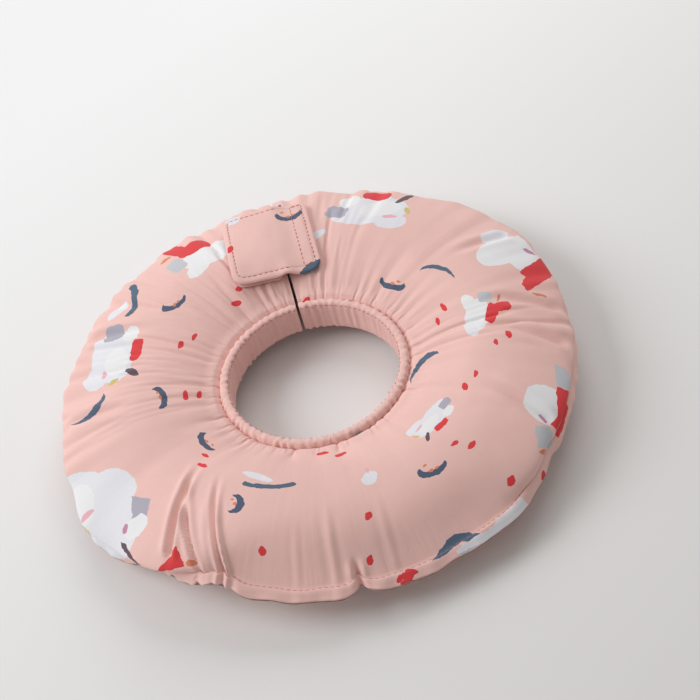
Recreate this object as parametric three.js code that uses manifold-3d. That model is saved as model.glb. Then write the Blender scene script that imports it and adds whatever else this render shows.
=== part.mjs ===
// Soft padded elizabethan collar for a small dog: two annular panels of printed cotton, sewn
// together round the rim, filled with polyester fibre, gathered onto an elastic neck band, and
// slit along one radius with a hook-and-loop flap that closes the slit at the nape.
//
// Frame: millimetres, +Z up through the neck opening. The collar lies flat on Z = 0 with its
// origin under the middle of the neck opening. The throat is at -Y, the slit is at +Y.
//
// The cloth flexes along the X axis, so the ring is made as a throat arc and two wings that
// turn about that line at mid thickness. A wedge-shaped relief is left where the cloth of the
// real collar would crumple: above mid thickness on the right wing, which lifts, and below it
// on the left wing, which drops.
import * as THREE from 'three';
import Module from 'manifold-3d';
import { mergeVertices } from 'three/addons/utils/BufferGeometryUtils.js';

// ---------------------------------------------------------------- driving dimensions
const RIM_R = 130;            // outer edge of the collar
const STITCH_R = 125;         // topstitching round the rim
const CUSHION_IN_R = 48;      // inner end of the stuffed ring
const BAND_IN_R = 42;         // neck opening
const BAND_OUT_R = 47.4;
const MID_Z = 17;             // seam plane
const TOP_RISE = 18;          // front panel's crown above the seam plane
const BOTTOM_DROP = 17;       // back panel's flat below the seam plane
const CLOTH = 0.8;            // quilted cotton panel with its backing
const GAP = 0.3;              // between pieces that touch
const BAND_HEIGHT = 18;
const ELASTIC = [1.4, 11];    // thickness, height
const THREAD = 0.6;
const FLEX_DEG = 60;          // how far each wing folds
const HINGE_GAP = 0.2;        // half the gap left along the flex line
const SLIT_HALF = 0.5;        // half the slit between the two ends
const GUSSET = 0.8;
const FLAP_Y = [60, 112];     // flap, hook and loop run along the slit between these
const FLAP_HINGE_X = 6;
const FLAP_TIP_X = -28;
const FLAP_ROOT_X = 18;
const LOOP_T = 1.2;
const HOOK_T = 1.4;
const SEGMENTS = 48;          // facets round the ring

// ---------------------------------------------------------------- materials
const paint = (hex, roughness) => new THREE.MeshStandardMaterial({ color: hex, roughness, metalness: 0 });
const M = {
  print: paint(0xf0c0b8, 0.85),
  back: paint(0xf2c7bf, 0.85),
  fill: paint(0xf7f5f0, 0.95),
  seam: paint(0xe6aaa2, 0.85),
  thread: paint(0xdc8f8a, 0.7),
  band: paint(0xefbcb4, 0.85),
  elastic: paint(0xf4f1ec, 0.8),
  hook: paint(0xf3d9d4, 0.75),
  loop: paint(0xf5dcd7, 0.95),
};

// ---------------------------------------------------------------- manifold helpers
const wasm = await Module();
wasm.setup();

function signedVolume(position, index) {
  let sum = 0;
  const a = new THREE.Vector3(), b = new THREE.Vector3(), c = new THREE.Vector3();
  for (let i = 0; i < index.length; i += 3) {
    a.fromArray(position, index[i] * 3);
    b.fromArray(position, index[i + 1] * 3);
    c.fromArray(position, index[i + 2] * 3);
    sum += a.dot(b.cross(c));
  }
  return sum / 6;
}

function solid(geometry) {
  const g = geometry.index ? geometry.clone() : mergeVertices(geometry.clone());
  for (const name of Object.keys(g.attributes)) if (name !== 'position') g.deleteAttribute(name);
  const welded = mergeVertices(g, 1e-4);
  const position = welded.attributes.position.array;
  const index = [];
  const src = welded.index.array;
  for (let i = 0; i < src.length; i += 3) {
    if (src[i] !== src[i + 1] && src[i + 1] !== src[i + 2] && src[i] !== src[i + 2]) {
      index.push(src[i], src[i + 1], src[i + 2]);
    }
  }
  if (signedVolume(position, index) < 0) {
    for (let i = 0; i < index.length; i += 3) [index[i + 1], index[i + 2]] = [index[i + 2], index[i + 1]];
  }
  return new wasm.Manifold(new wasm.Mesh({
    numProp: 3,
    vertProperties: new Float32Array(position),
    triVerts: new Uint32Array(index),
  }));
}

function geometryOf(manifold) {
  const m = manifold.getMesh();
  const g = new THREE.BufferGeometry();
  const xyz = new Float32Array(m.numVert * 3);
  for (let i = 0; i < m.numVert; i++) {
    for (let k = 0; k < 3; k++) xyz[i * 3 + k] = m.vertProperties[i * m.numProp + k];
  }
  g.setAttribute('position', new THREE.BufferAttribute(xyz, 3));
  g.setIndex(new THREE.BufferAttribute(new Uint32Array(m.triVerts), 1));
  g.computeVertexNormals();
  return g;
}

// A closed section of [radius, height] points turned about the Z axis.
function ring(section) {
  const pts = section.map(([r, z]) => new THREE.Vector2(r, z));
  pts.push(pts[0].clone());
  return solid(new THREE.LatheGeometry(pts, SEGMENTS).rotateX(Math.PI / 2));
}

// A closed section of [y, z] points extruded along X between two stations.
const YZ_TO_WORLD = new THREE.Matrix4().makeBasis(
  new THREE.Vector3(0, 1, 0), new THREE.Vector3(0, 0, 1), new THREE.Vector3(1, 0, 0));
function prism(section, x0, x1) {
  const shape = new THREE.Shape(section.map(([y, z]) => new THREE.Vector2(y, z)));
  const g = new THREE.ExtrudeGeometry(shape, { depth: x1 - x0, bevelEnabled: false, steps: 1 });
  g.applyMatrix4(YZ_TO_WORLD).translate(x0, 0, 0);
  return solid(g);
}

// ---------------------------------------------------------------- cutting the ring into bodies
const T = Math.tan(THREE.MathUtils.degToRad((FLEX_DEG + 3) / 2));
const LOW = -60, HIGH = 120, FAR = 220;
const rightRoom = (g) => [
  [g, LOW], [FAR, LOW], [FAR, HIGH], [g + Math.sign(g) * (HIGH - MID_Z) * T, HIGH], [g, MID_Z]];
const leftRoom = (g) => [
  [g + Math.sign(g) * (MID_Z - LOW) * T, LOW], [FAR, LOW], [FAR, HIGH], [g, HIGH], [g, MID_Z]];

const rootCutRight = prism(rightRoom(-HINGE_GAP), 0, FAR);
const rootCutLeft = prism(leftRoom(-HINGE_GAP), -FAR, 0.05);
const throatOf = (m) => m.subtract(rootCutRight).subtract(rootCutLeft);
const rightOf = (m, from = SLIT_HALF) => m.intersect(prism(rightRoom(HINGE_GAP), from, FAR));
const leftOf = (m, from = SLIT_HALF) => m.intersect(prism(leftRoom(HINGE_GAP), -FAR, -from));

// ---------------------------------------------------------------- sections
// Height of the crown over the seam plane, as [radius, share of the full rise].
const CROWN = [
  [48, 0.1], [50, 0.42], [54, 0.68], [60, 0.86], [68, 0.97], [76, 1], [98, 1],
  [107, 0.93], [115, 0.75], [121, 0.46], [125, 0.06]];
const brimZ = 0.7;   // underside of the front panel's flat margin, over the seam plane

function panelSection(side, full) {
  // outer skin, then back along the inner skin
  const outer = CROWN.map(([r, s]) => [r, Math.max(s * full, brimZ + CLOTH)]);
  outer.push([RIM_R, brimZ + CLOTH]);
  const inner = [];
  for (let i = 0; i < CROWN.length; i++) {
    const [r, s] = CROWN[i];
    const inset = i === 0 ? 0 : r < 70 ? CLOTH * 0.9 : r > 105 ? -CLOTH * 0.9 : 0;
    inner.push([r + (s < 1 ? inset : 0), Math.max(s * full - CLOTH, brimZ)]);
  }
  inner[0] = [CUSHION_IN_R, brimZ];
  inner.push([RIM_R, brimZ]);
  const clean = inner.filter(([r], i) => i === 0 || r > inner[i - 1][0] + 0.2 || i === inner.length - 1);
  return outer.concat(clean.reverse()).map(([r, h]) => [r, MID_Z + side * h]);
}
const frontRing = ring(panelSection(1, TOP_RISE));
const backRing = ring(panelSection(-1, BOTTOM_DROP));

// fibre filling, clear of both panels and of the turned-in seam
const fillPts = [[51.8, 0.3], [55.5, 0.6], [61.5, 0.79], [69, 0.9], [77, 0.94], [97, 0.94],
  [105.5, 0.87], [113, 0.69], [118.4, 0.36], [119.6, 0.2]];
const fillSection = [
  ...fillPts.map(([r, s]) => [r, MID_Z + s * (TOP_RISE - 0.7)]),
  ...fillPts.slice().reverse().map(([r, s]) => [r, MID_Z - s * (BOTTOM_DROP - 0.7)])];
const fillRing = ring(fillSection);

const seamRing = ring([[120.6, MID_Z - 0.4], [RIM_R - 0.5, MID_Z - 0.4], [RIM_R - 0.5, MID_Z + 0.4], [120.6, MID_Z + 0.4]]);

const threadSection = (r, z0) => [
  [r - THREAD / 2, z0], [r + THREAD / 2, z0], [r + THREAD / 2, z0 + THREAD], [r - THREAD / 2, z0 + THREAD]];
const upperThread = ring(threadSection(STITCH_R + 0.7, MID_Z + brimZ + CLOTH + 0.15));
const lowerThread = ring(threadSection(STITCH_R + 0.7, MID_Z - brimZ - CLOTH - 0.15 - THREAD));

const half = BAND_HEIGHT / 2;
const bandOuter = ring([
  [BAND_IN_R + 0.9, MID_Z - half], [BAND_OUT_R - 0.9, MID_Z - half], [BAND_OUT_R, MID_Z - half + 1.2],
  [BAND_OUT_R, MID_Z + half - 1.2], [BAND_OUT_R - 0.9, MID_Z + half], [BAND_IN_R + 0.9, MID_Z + half],
  [BAND_IN_R, MID_Z + half - 1.2], [BAND_IN_R, MID_Z - half + 1.2]]);
const bandInner = ring([
  [BAND_IN_R + 1.1, MID_Z - half + 1.4], [BAND_OUT_R - 1.1, MID_Z - half + 1.4],
  [BAND_OUT_R - 1.1, MID_Z + half - 1.4], [BAND_IN_R + 1.1, MID_Z + half - 1.4]]);
const bandRing = bandOuter.subtract(bandInner);
const elasticMid = (BAND_IN_R + BAND_OUT_R) / 2;
const elasticRing = ring([
  [elasticMid - ELASTIC[0] / 2, MID_Z - ELASTIC[1] / 2], [elasticMid + ELASTIC[0] / 2, MID_Z - ELASTIC[1] / 2],
  [elasticMid + ELASTIC[0] / 2, MID_Z + ELASTIC[1] / 2], [elasticMid - ELASTIC[0] / 2, MID_Z + ELASTIC[1] / 2]]);

// ---------------------------------------------------------------- ends of the slit
const gussetSection = [
  ...CROWN.map(([r, s]) => [r, MID_Z + Math.max(s * TOP_RISE, brimZ + CLOTH)]),
  ...CROWN.slice().reverse().map(([r, s]) => [r, MID_Z - Math.max(s * BOTTOM_DROP, brimZ + CLOTH)])];
const rightGusset = prism(gussetSection, SLIT_HALF, SLIT_HALF + GUSSET);
const leftGusset = prism(gussetSection, -SLIT_HALF - GUSSET, -SLIT_HALF);
const CLEAR_GUSSET = SLIT_HALF + GUSSET + GAP;

// ---------------------------------------------------------------- flap, hook and loop
function crownAt(r) {
  for (let i = 1; i < CROWN.length; i++) {
    const [r0, s0] = CROWN[i - 1], [r1, s1] = CROWN[i];
    if (r <= r1) return MID_Z + TOP_RISE * (s0 + (s1 - s0) * (r - r0) / (r1 - r0));
  }
  return MID_Z + brimZ + CLOTH;
}
// the highest point of the crown under the flap at each station along the slit
function seat(y) {
  let z = 0;
  for (let x = FLAP_TIP_X - 2; x <= FLAP_ROOT_X + 1; x += 1) z = Math.max(z, crownAt(Math.hypot(x, y)));
  return z;
}
// the same height between fixed stations, so that stacked layers nest face to face
const [FY0, FY1] = FLAP_Y;
const STATIONS = Array.from({ length: 9 }, (_, i) => FY0 + (FY1 - FY0) * i / 8);
const SEATS = STATIONS.map(seat);
function seatBetween(y) {
  const i = Math.min(7, Math.max(0, Math.floor((y - FY0) / (FY1 - FY0) * 8)));
  return SEATS[i] + (SEATS[i + 1] - SEATS[i]) * (y - STATIONS[i]) / (STATIONS[i + 1] - STATIONS[i]);
}
function layer(y0, y1, x0, x1, base, thick) {
  const ys = [y0, ...STATIONS.filter((y) => y > y0 + 0.01 && y < y1 - 0.01), y1];
  const low = ys.map((y) => [y, seatBetween(y) + base]);
  const high = ys.map((y) => [y, seatBetween(y) + base + thick]);
  return prism(low.concat(high.reverse()), x0, x1);
}
const loopBase = GAP;
const hookBase = loopBase + LOOP_T + GAP;
const flapLowBase = hookBase + HOOK_T + GAP;
const flapHighBase = flapLowBase + CLOTH + GAP;
const flapThreadBase = flapHighBase + CLOTH + 0.15;
const flapTop = Math.max(...SEATS) + flapThreadBase + THREAD;

const flapTip = FLAP_TIP_X, flapStart = FLAP_HINGE_X - GAP;
const loopStrip = layer(FY0 + 1, FY1 - 1, -26, -3, loopBase, LOOP_T);
const hookStrip = layer(FY0 + 2, FY1 - 2, -25, -4, hookBase, HOOK_T);
const flapLower = layer(FY0, FY1, flapTip, flapStart, flapLowBase, CLOTH);
const flapUpper = layer(FY0, FY1, flapTip, flapStart, flapHighBase, CLOTH);
// one thread line runs round the flap's three free sides and back along its fold
const line = (y0, y1, x0, x1) => layer(y0, y1, x0, x1, flapThreadBase, THREAD);
const flapThread = line(FY0 + 3, FY1 - 3, flapTip + 3, flapTip + 3 + THREAD)
  .add(line(FY0 + 3, FY1 - 3, -2.4, -2.4 + THREAD))
  .add(layer(FY0 + 3, FY0 + 3 + THREAD, flapTip + 3, -2.4 + THREAD, flapThreadBase, THREAD))
  .add(layer(FY1 - 3 - THREAD, FY1 - 3, flapTip + 3, -2.4 + THREAD, flapThreadBase, THREAD));
// the flap's sewn-down root, a folded layer on the right end
const flapRoot = layer(FY0, FY1, FLAP_HINGE_X + GAP, FLAP_ROOT_X, loopBase, 2.2);

// ---------------------------------------------------------------- scene graph
function node(name, manifold, material) {
  const mesh = new THREE.Mesh(geometryOf(manifold), material);
  mesh.name = name;
  return mesh;
}

const throat = new THREE.Group();
const left = new THREE.Group();
const right = new THREE.Group();
const flap = new THREE.Group();

for (const [kind, whole, material, clear] of [
  ['front_panel', frontRing, M.print, CLEAR_GUSSET],
  ['back_panel', backRing, M.back, CLEAR_GUSSET],
  ['fibre_filling', fillRing, M.fill, CLEAR_GUSSET],
  ['seam_allowance', seamRing, M.seam, CLEAR_GUSSET],
  ['upper_thread', upperThread, M.thread, SLIT_HALF],
  ['lower_thread', lowerThread, M.thread, SLIT_HALF],
  ['neck_band', bandRing, M.band, SLIT_HALF],
  ['neck_elastic', elasticRing, M.elastic, SLIT_HALF],
]) {
  throat.add(node('throat_' + kind, throatOf(whole), material));
  left.add(node('left_' + kind, leftOf(whole, clear), material));
  right.add(node('right_' + kind, rightOf(whole, clear), material));
}
left.add(node('left_end_gusset', leftGusset, M.print));
left.add(node('loop_strip', loopStrip, M.loop));
right.add(node('right_end_gusset', rightGusset, M.print));
right.add(node('flap_root', flapRoot, M.print));
flap.add(node('flap_lower_panel', flapLower, M.back));
flap.add(node('flap_upper_panel', flapUpper, M.print));
flap.add(node('hook_strip', hookStrip, M.hook));
flap.add(node('flap_thread', flapThread, M.thread));
flap.userData.hinge = { axis: [0, 1, 0], pos: [FLAP_HINGE_X, (FY0 + FY1) / 2, flapTop] };

const collar = new THREE.Group();
collar.add(throat, left, right, flap);

export default collar;
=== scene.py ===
import math

import bpy
import numpy as np
from mathutils import Matrix, Vector
from mathutils.bvhtree import BVHTree


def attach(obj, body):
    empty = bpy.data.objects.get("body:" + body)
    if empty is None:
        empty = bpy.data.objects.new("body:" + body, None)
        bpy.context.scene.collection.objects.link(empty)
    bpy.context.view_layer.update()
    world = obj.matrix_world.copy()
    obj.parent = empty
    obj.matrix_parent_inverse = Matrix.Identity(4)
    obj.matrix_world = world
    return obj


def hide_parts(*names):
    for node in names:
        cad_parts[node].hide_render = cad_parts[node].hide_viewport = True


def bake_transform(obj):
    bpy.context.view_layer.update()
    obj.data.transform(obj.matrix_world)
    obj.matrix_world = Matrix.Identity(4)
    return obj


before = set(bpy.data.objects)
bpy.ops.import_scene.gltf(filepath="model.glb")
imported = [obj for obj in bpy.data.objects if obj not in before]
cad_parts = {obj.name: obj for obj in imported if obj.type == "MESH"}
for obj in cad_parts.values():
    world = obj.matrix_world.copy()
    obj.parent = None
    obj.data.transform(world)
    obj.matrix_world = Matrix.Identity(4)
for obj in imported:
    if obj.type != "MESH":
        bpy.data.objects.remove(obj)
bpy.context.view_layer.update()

# ---------------------------------------------------------------------------- sizes, in metres
MID = 0.017                  # height of the seam plane
R_SEAM = 0.1243              # topstitching round the rim
R_EDGE = 0.1300              # outer edge of the turned margin
R_IN = 0.0480                # inner end of the stuffed ring
WALL = 0.0062                # half height of the stuffed ring where it meets the neck band
NT = 300                     # columns of the simulated cloth
NR = 34                      # rows of each panel, rim to neck
NW = 4
FT, FR = 3, 2                # the fine mesh has this many columns and rows for each simulated one
SLIT = 0.0007                # half the slit

CLOTH_W = 0.1010             # flat width of each panel between its seams
FLAT_OUT = 0.1335            # flat radius of the rim seam
FLAT_IN = 0.0560             # flat radius at the gathered neck seam


def smooth(x, a, b):
    t = np.clip((x - a) / (b - a), 0, 1)
    return t * t * (3 - 2 * t)


def ang(d):
    """Difference of two angles in degrees, from -180 to 180."""
    return (d + 180.0) % 360.0 - 180.0


def bump(theta, centre, width):
    return np.exp(-(ang(theta - centre) / width) ** 2)


def waves(theta, seed, low, high, count):
    """A smooth periodic random wave round the ring, about -1 to 1."""
    r = np.random.RandomState(seed)
    out = np.zeros_like(theta)
    for _ in range(count):
        out = out + r.uniform(0.4, 1.0) * np.cos(np.radians(theta) * r.randint(low, high) + r.uniform(0, 2 * math.pi))
    return out / math.sqrt(count)


def rim_lift(theta):
    """How far the rim stands above or below its plane."""
    return (0.0065 * bump(theta, -123, 13) + 0.0026 * bump(theta, -121.5, 5) - 0.0040 * bump(theta, -156, 11) - 0.0028 * bump(theta, -74, 15)
            + 0.0016 * bump(theta, -30, 12) + 0.0014 * bump(theta, 12, 14)
            + 0.0006 * waves(theta, 5, 5, 16, 8))


def rim_radius(theta):
    return (R_SEAM + 0.0060 * bump(theta, -154.5, 11) - 0.0012 * bump(theta, -137, 7) + 0.0022 * bump(theta, 36, 20) + 0.0034 * bump(theta, -56, 11) + 0.0010 * bump(theta, -96.5, 3.5) - 0.0018 * bump(theta, -121.5, 4.5) - 0.0030 * bump(theta, -91.8, 2.4) - 0.0012 * bump(theta, -118.5, 2.2) - 0.0012 * bump(theta, -40, 2.4)
            - 0.0010 * bump(theta, 72, 2.5) - 0.0010 * bump(theta, 150, 2.6) + 0.0004 * waves(theta, 11, 14, 44, 10))


# ---------------------------------------------------------------------------- the stuffed ring, as cloth
THETA = np.arange(NT) * 360.0 / NT                     # the throat is column 225, the slit column 75


def start_grid():
    """The closed section, rim seam to neck over the top, down the wall and back under, at every angle."""
    u = np.linspace(0, 1, NR)
    r = R_SEAM + (R_IN - R_SEAM) * u
    h = 0.0115 * np.sqrt(np.clip(1 - np.abs(2 * u - 1) ** 3, 0, 1))
    h = np.maximum(h, WALL * smooth(u, 0.75, 1.0))
    wall = np.linspace(WALL, -WALL, NW + 2)[1:-1]
    sr = np.concatenate([r, np.full(NW, R_IN), r[::-1][:-1]])
    sz = np.concatenate([h, wall, -h[::-1][:-1]])
    share = np.concatenate([1 - u, np.zeros(NW), (1 - u)[::-1][:-1]])
    th = THETA[:, None]
    reach = smooth(share, 0.0, 1.0)[None]
    rr = sr[None] + (rim_radius(th) - R_SEAM) * share[None] ** 6
    zz = sz[None] + rim_lift(th) * reach
    wobble = sum(a * np.cos(np.radians(th) * k + ph + share[None] * q) for a, k, ph, q in
                 [(1.0, 47, 0.3, 2), (0.8, 61, 1.9, -3), (0.9, 33, 4.0, 1), (0.7, 74, 2.6, 4), (0.6, 23, 5.2, -1), (0.5, 89, 0.9, 2)])
    zz = zz + 0.00022 * wobble * np.sign(sz)[None] * (np.abs(sz)[None] > 0.002)
    return np.stack([rr * np.cos(np.radians(th)), rr * np.sin(np.radians(th)), zz + MID], -1)


def rest_grid():
    """The same cloth before it was stuffed: wider round the rim and the neck than the finished ring, so that it puckers at its seams."""
    u = np.linspace(0, 1, NR)
    r = FLAT_OUT + (FLAT_IN - FLAT_OUT) * u
    h = math.sqrt(CLOTH_W ** 2 - (FLAT_OUT - FLAT_IN) ** 2) * u
    wall = np.linspace(h[-1], -h[-1], NW + 2)[1:-1]
    sr = np.concatenate([r, np.full(NW, FLAT_IN), r[::-1][:-1]])
    sz = np.concatenate([h, wall, -h[::-1][:-1]])
    # more cloth is gathered at some places round the rim than at others
    extra = 1 + (0.30 * bump(THETA, -133, 4) + 0.34 * bump(THETA, -126, 3) + 0.34 * bump(THETA, -119, 3) + 0.22 * bump(THETA, -101, 4)
                 + 0.36 * bump(THETA, -91.8, 3) + 0.22 * bump(THETA, -38, 5) + 0.20 * bump(THETA, -12, 5) + 0.06 * bump(THETA, 24, 5)
                 + 0.22 * bump(THETA, 60, 4) + 0.2 * bump(THETA, 118, 4) + 0.22 * bump(THETA, 150, 4) + 0.18 * bump(THETA, 178, 5)
                 + 0.07 * waves(THETA, 21, 18, 60, 12))
    turn = np.cumsum(extra)
    turn = np.radians((turn - turn[0]) / turn[-1] * 360.0 * (NT - 1) / NT)
    return np.stack([np.cos(turn)[:, None] * sr[None], np.sin(turn)[:, None] * sr[None],
                     np.broadcast_to(sz[None], (NT, len(sz)))], -1)


def simulate(start, rest):
    """Blender's cloth, blown up by its filling and held at its seams."""
    scale = 20.0
    n, m = start.shape[:2]
    index = np.arange(n * m).reshape(n, m)
    quads = np.stack([index, np.roll(index, -1, 1), np.roll(np.roll(index, -1, 0), -1, 1), np.roll(index, -1, 0)], -1).reshape(-1, 4)
    mesh = bpy.data.meshes.new("sim")
    mesh.from_pydata((start.reshape(-1, 3) * scale).tolist(), [], quads.tolist())
    v = start.reshape(-1, 3)
    tri = np.vstack([quads[:, [0, 1, 2]], quads[:, [0, 2, 3]]])
    if np.einsum("ij,ij->i", v[tri[:, 0]], np.cross(v[tri[:, 1]], v[tri[:, 2]])).sum() < 0:
        mesh.flip_normals()
    ob = bpy.data.objects.new("sim", mesh)
    bpy.context.scene.collection.objects.link(ob)
    ob.shape_key_add(name="Basis")
    key = ob.shape_key_add(name="Cut")
    key.data.foreach_set("co", (rest.reshape(-1, 3) * scale).ravel())
    key.value = 0
    held = ob.vertex_groups.new(name="held")
    held.add([int(i) for i in index[:, NR - 1:NR + NW + 1].ravel()], 1.0, "REPLACE")
    held.add([int(i) for i in index[:, 0]], 0.93, "REPLACE")
    mod = ob.modifiers.new("Cloth", "CLOTH")
    c = mod.settings
    c.quality = 5
    c.mass = 0.02
    c.air_damping = 3
    c.tension_stiffness, c.compression_stiffness, c.shear_stiffness, c.bending_stiffness = 60, 25, 10, 0.25
    c.tension_damping = c.compression_damping = c.shear_damping = 10
    c.bending_damping = 1
    c.bending_model = "ANGULAR"
    c.use_pressure = True
    c.uniform_pressure_force = 9
    c.vertex_group_mass = "held"
    c.pin_stiffness = 1
    c.rest_shape_key = key
    c.effector_weights.gravity = 0
    mod.collision_settings.use_collision = False
    mod.collision_settings.use_self_collision = False
    last = 18
    mod.point_cache.frame_start, mod.point_cache.frame_end = 1, last
    for f in range(1, last + 1):
        bpy.context.scene.frame_set(f)
    done = ob.evaluated_get(bpy.context.evaluated_depsgraph_get())
    co = np.zeros(n * m * 3, np.float32)
    done.data.vertices.foreach_get("co", co)
    bpy.data.objects.remove(ob)
    bpy.data.meshes.remove(mesh)
    bpy.context.scene.frame_set(1)
    return co.reshape(n, m, 3).astype(float) / scale


ring = simulate(start_grid(), rest_grid())


def settle(p):
    """The ring lies on its flat underside, and its face stays under the flap's strips."""
    q = p.copy()
    z = q[..., 2]
    low = 0.0022
    z = np.where(z < low, low * np.exp(np.clip((z - low) / low, -8, 0)), z)
    top, soft = 0.0338, 0.0022
    z = np.where(z > top, top + soft * (1 - np.exp(-(z - top) / soft)), z)
    q[..., 2] = z
    return q


ring = settle(ring)


# ---------------------------------------------------------------------------- finer grids
def finer(g, times, axis, closed):
    """Cubic (Catmull-Rom) points between those of a grid, along one axis."""
    g = np.moveaxis(g, axis, 0)
    n = len(g)
    count = n * times if closed else (n - 1) * times + 1
    t = np.arange(count) / times
    i = np.floor(t).astype(int)
    f = (t - i).reshape((-1,) + (1,) * (g.ndim - 1))

    def at(k):
        return g[k % n] if closed else g[np.clip(k, 0, n - 1)]

    a, b, c, d = at(i - 1), at(i), at(i + 1), at(i + 2)
    out = b + 0.5 * f * ((c - a) + f * ((2 * a - 5 * b + 4 * c - d) + f * (3 * (b - c) + d - a)))
    return np.moveaxis(out, 0, axis)


front = finer(finer(ring[:, :NR], FT, 0, True), FR, 1, False)
back_rows = np.concatenate([ring[:, NR + NW:], ring[:, :1]], 1)[:, ::-1]
back = finer(finer(back_rows, FT, 0, True), FR, 1, False)
COLS, ROWS = front.shape[:2]
TH = np.arange(COLS) * 360.0 / COLS
U = np.linspace(0, 1, ROWS)


def round_share(th):
    """1 where the stuffed panel rolls out over the seam and hides it, 0 at the front where the turned margin stands out."""
    t = ang(np.asarray(th, float) + 90.0)
    return np.where(t < 0, smooth(-t, 27.0, 45.0), smooth(t, 28.0, 47.0))


def th_window(th, centre, half):
    """1 within half of a centre angle, falling to 0 over another 14 degrees."""
    return 1 - np.clip((np.abs(ang(th - centre)) - half + 6) / 16.0, 0, 1)


def overhang(g, amount, reach):
    """The filling pushes the cloth out past the seam in a full round shoulder."""
    q = g.copy()
    s = np.linspace(0, CLOTH_W, ROWS)[None]
    a = (amount * round_share(TH) * (1 + 0.28 * bump(TH, -138, 10) - 0.22 * bump(TH, -38, 30) - 0.13 * bump(TH, 22, 40) + 0.10 * waves(TH, 61, 7, 22, 8)) + 0.0027 * bump(TH, 22, 14))[:, None]
    prof = (s / reach) * np.exp(1 - s / reach)
    c, n = np.cos(np.radians(TH))[:, None], np.sin(np.radians(TH))[:, None]
    q[..., 0] += c * a * prof
    q[..., 1] += n * a * prof
    return q


def calm(g, centre, half, times):
    """Evens out the gathers over part of the ring."""
    q = g.copy()
    w = (smooth(th_window(TH, centre, half), 0, 1)[:, None] * (1 - smooth(U, 0.70, 0.95))[None])[..., None] * 0.5
    for _ in range(times):
        r = np.hypot(q[..., 0], q[..., 1])
        ra = (np.roll(r, 1, 0) + np.roll(r, -1, 0)) / 2
        za = (np.roll(q[..., 2], 1, 0) + np.roll(q[..., 2], -1, 0)) / 2
        k = (1 + w[..., 0] * (ra / r - 1))
        inside = smooth(np.arange(ROWS), 0.0, 3.0)[None]
        k = 1 + inside * (k - 1)
        q[..., 0] *= k
        q[..., 1] *= k
        q[..., 2] += inside * w[..., 0] * (za - q[..., 2])
    return q


def flatten(g, amount, reach):
    """At the front the panel runs out to its seam at a flat angle, beside the margin."""
    q = g.copy()
    s = np.linspace(0, CLOTH_W, ROWS)[None]
    k = 1 - amount * (1 - round_share(TH))[:, None] * np.exp(-(s / reach) ** 2)
    seam = g[:, :1, 2]
    q[..., 2] = seam + (q[..., 2] - seam) * k
    return q


def pinch(g, centre, amount, width, reach):
    """The seam is drawn in sharply at one place."""
    q = g.copy()
    s = np.linspace(0, CLOTH_W, ROWS)[None]
    d = np.sqrt(ang(TH - centre) ** 2 + 0.15 ** 2)[:, None]
    k = 1 - amount * np.exp(-d / width) * np.exp(-s / reach) / np.hypot(q[..., 0], q[..., 1])
    q[..., 0] *= k
    q[..., 1] *= k
    return q


def sculpt(g, side):
    """Deep folds that a stuffed ring takes where it is pressed, laid over the simulated surface along its normals."""
    n = normals(g, side)
    r = np.hypot(g[..., 0], g[..., 1])
    th = np.degrees(np.arctan2(g[..., 1], g[..., 0]))
    d = np.zeros(g.shape[:2])
    if side > 0:
        for centre, lean, width, depth, far in FOLDS:
            s = np.clip((R_SEAM - r) / 0.045, 0, 1.6)
            along = smooth(s, -0.02, 0.10) * (1 - smooth(s, far * 0.45, far))
            x = ang(th - centre - lean * s) * math.pi / 180 * r
            d += depth * along * (np.exp(-(x / width) ** 2) * -1.0 + 0.62 * np.exp(-((x - 1.9 * width) / (1.15 * width)) ** 2)
                                  + 0.62 * np.exp(-((x + 1.9 * width) / (1.15 * width)) ** 2))
    return g + n * d[..., None]


def normals(g, side):
    """Unit normals of a periodic grid, pointing away from the filling: up on the front panel, down on the back one."""
    du = np.roll(g, -1, 0) - np.roll(g, 1, 0)
    dv = np.empty_like(g)
    dv[:, 1:-1] = g[:, 2:] - g[:, :-2]
    dv[:, 0], dv[:, -1] = g[:, 1] - g[:, 0], g[:, -1] - g[:, -2]
    n = np.cross(du, dv) * side
    return n / np.maximum(np.linalg.norm(n, axis=-1, keepdims=True), 1e-12)


# centre angle, lean towards the neck in degrees, half width, depth, reach towards the neck
FOLDS = [
    (-132.6, -10.5, 0.0017, 0.0026, 1.15),
    (-125.0, -20.0, 0.0016, 0.0020, 0.95),
    (-121.2, -13.0, 0.0015, 0.0010, 0.90),
    (-119.4, -13.5, 0.0014, 0.0020, 1.10),
    (-118.2, -13.5, 0.0010, -0.0010, 0.95),
    (-96.4, 0.5, 0.0017, -0.0005, 0.85),
    (-104.5, 0.0, 0.0013, -0.0002, 0.70),
    (-91.8, 0.3, 0.0015, 0.0017, 0.26),
    (-84.0, 3.0, 0.0016, -0.0003, 0.80),
    (-36.0, 6.0, 0.0026, 0.0016, 0.9),
    (-14.0, 8.0, 0.0028, 0.0018, 1.0),
    (-3.0, 9.0, 0.0026, 0.0014, 0.9),
    (24.0, 5.0, 0.0026, 0.0014, 0.8),
    (150.0, -4.0, 0.0028, 0.0016, 0.9),
    (176.0, 3.0, 0.0026, 0.0014, 0.8),
]
front = overhang(front, 0.0108, 0.0082)
back = overhang(back, 0.0022, 0.010)
front = calm(front, -92.0, 27.0, 190)
front = calm(front, -124.0, 9.0, 60)
front = calm(front, -152.0, 13.0, 90)
front = calm(front, -40.0, 22.0, 32)
front = calm(front, 34.0, 24.0, 26)
front = flatten(front, 0.34, 0.017)
front = sculpt(front, 1)
front = pinch(front, -91.8, 0.0026, 0.75, 0.0045)
back = pinch(back, -91.8, 0.0026, 0.75, 0.0045)


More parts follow.
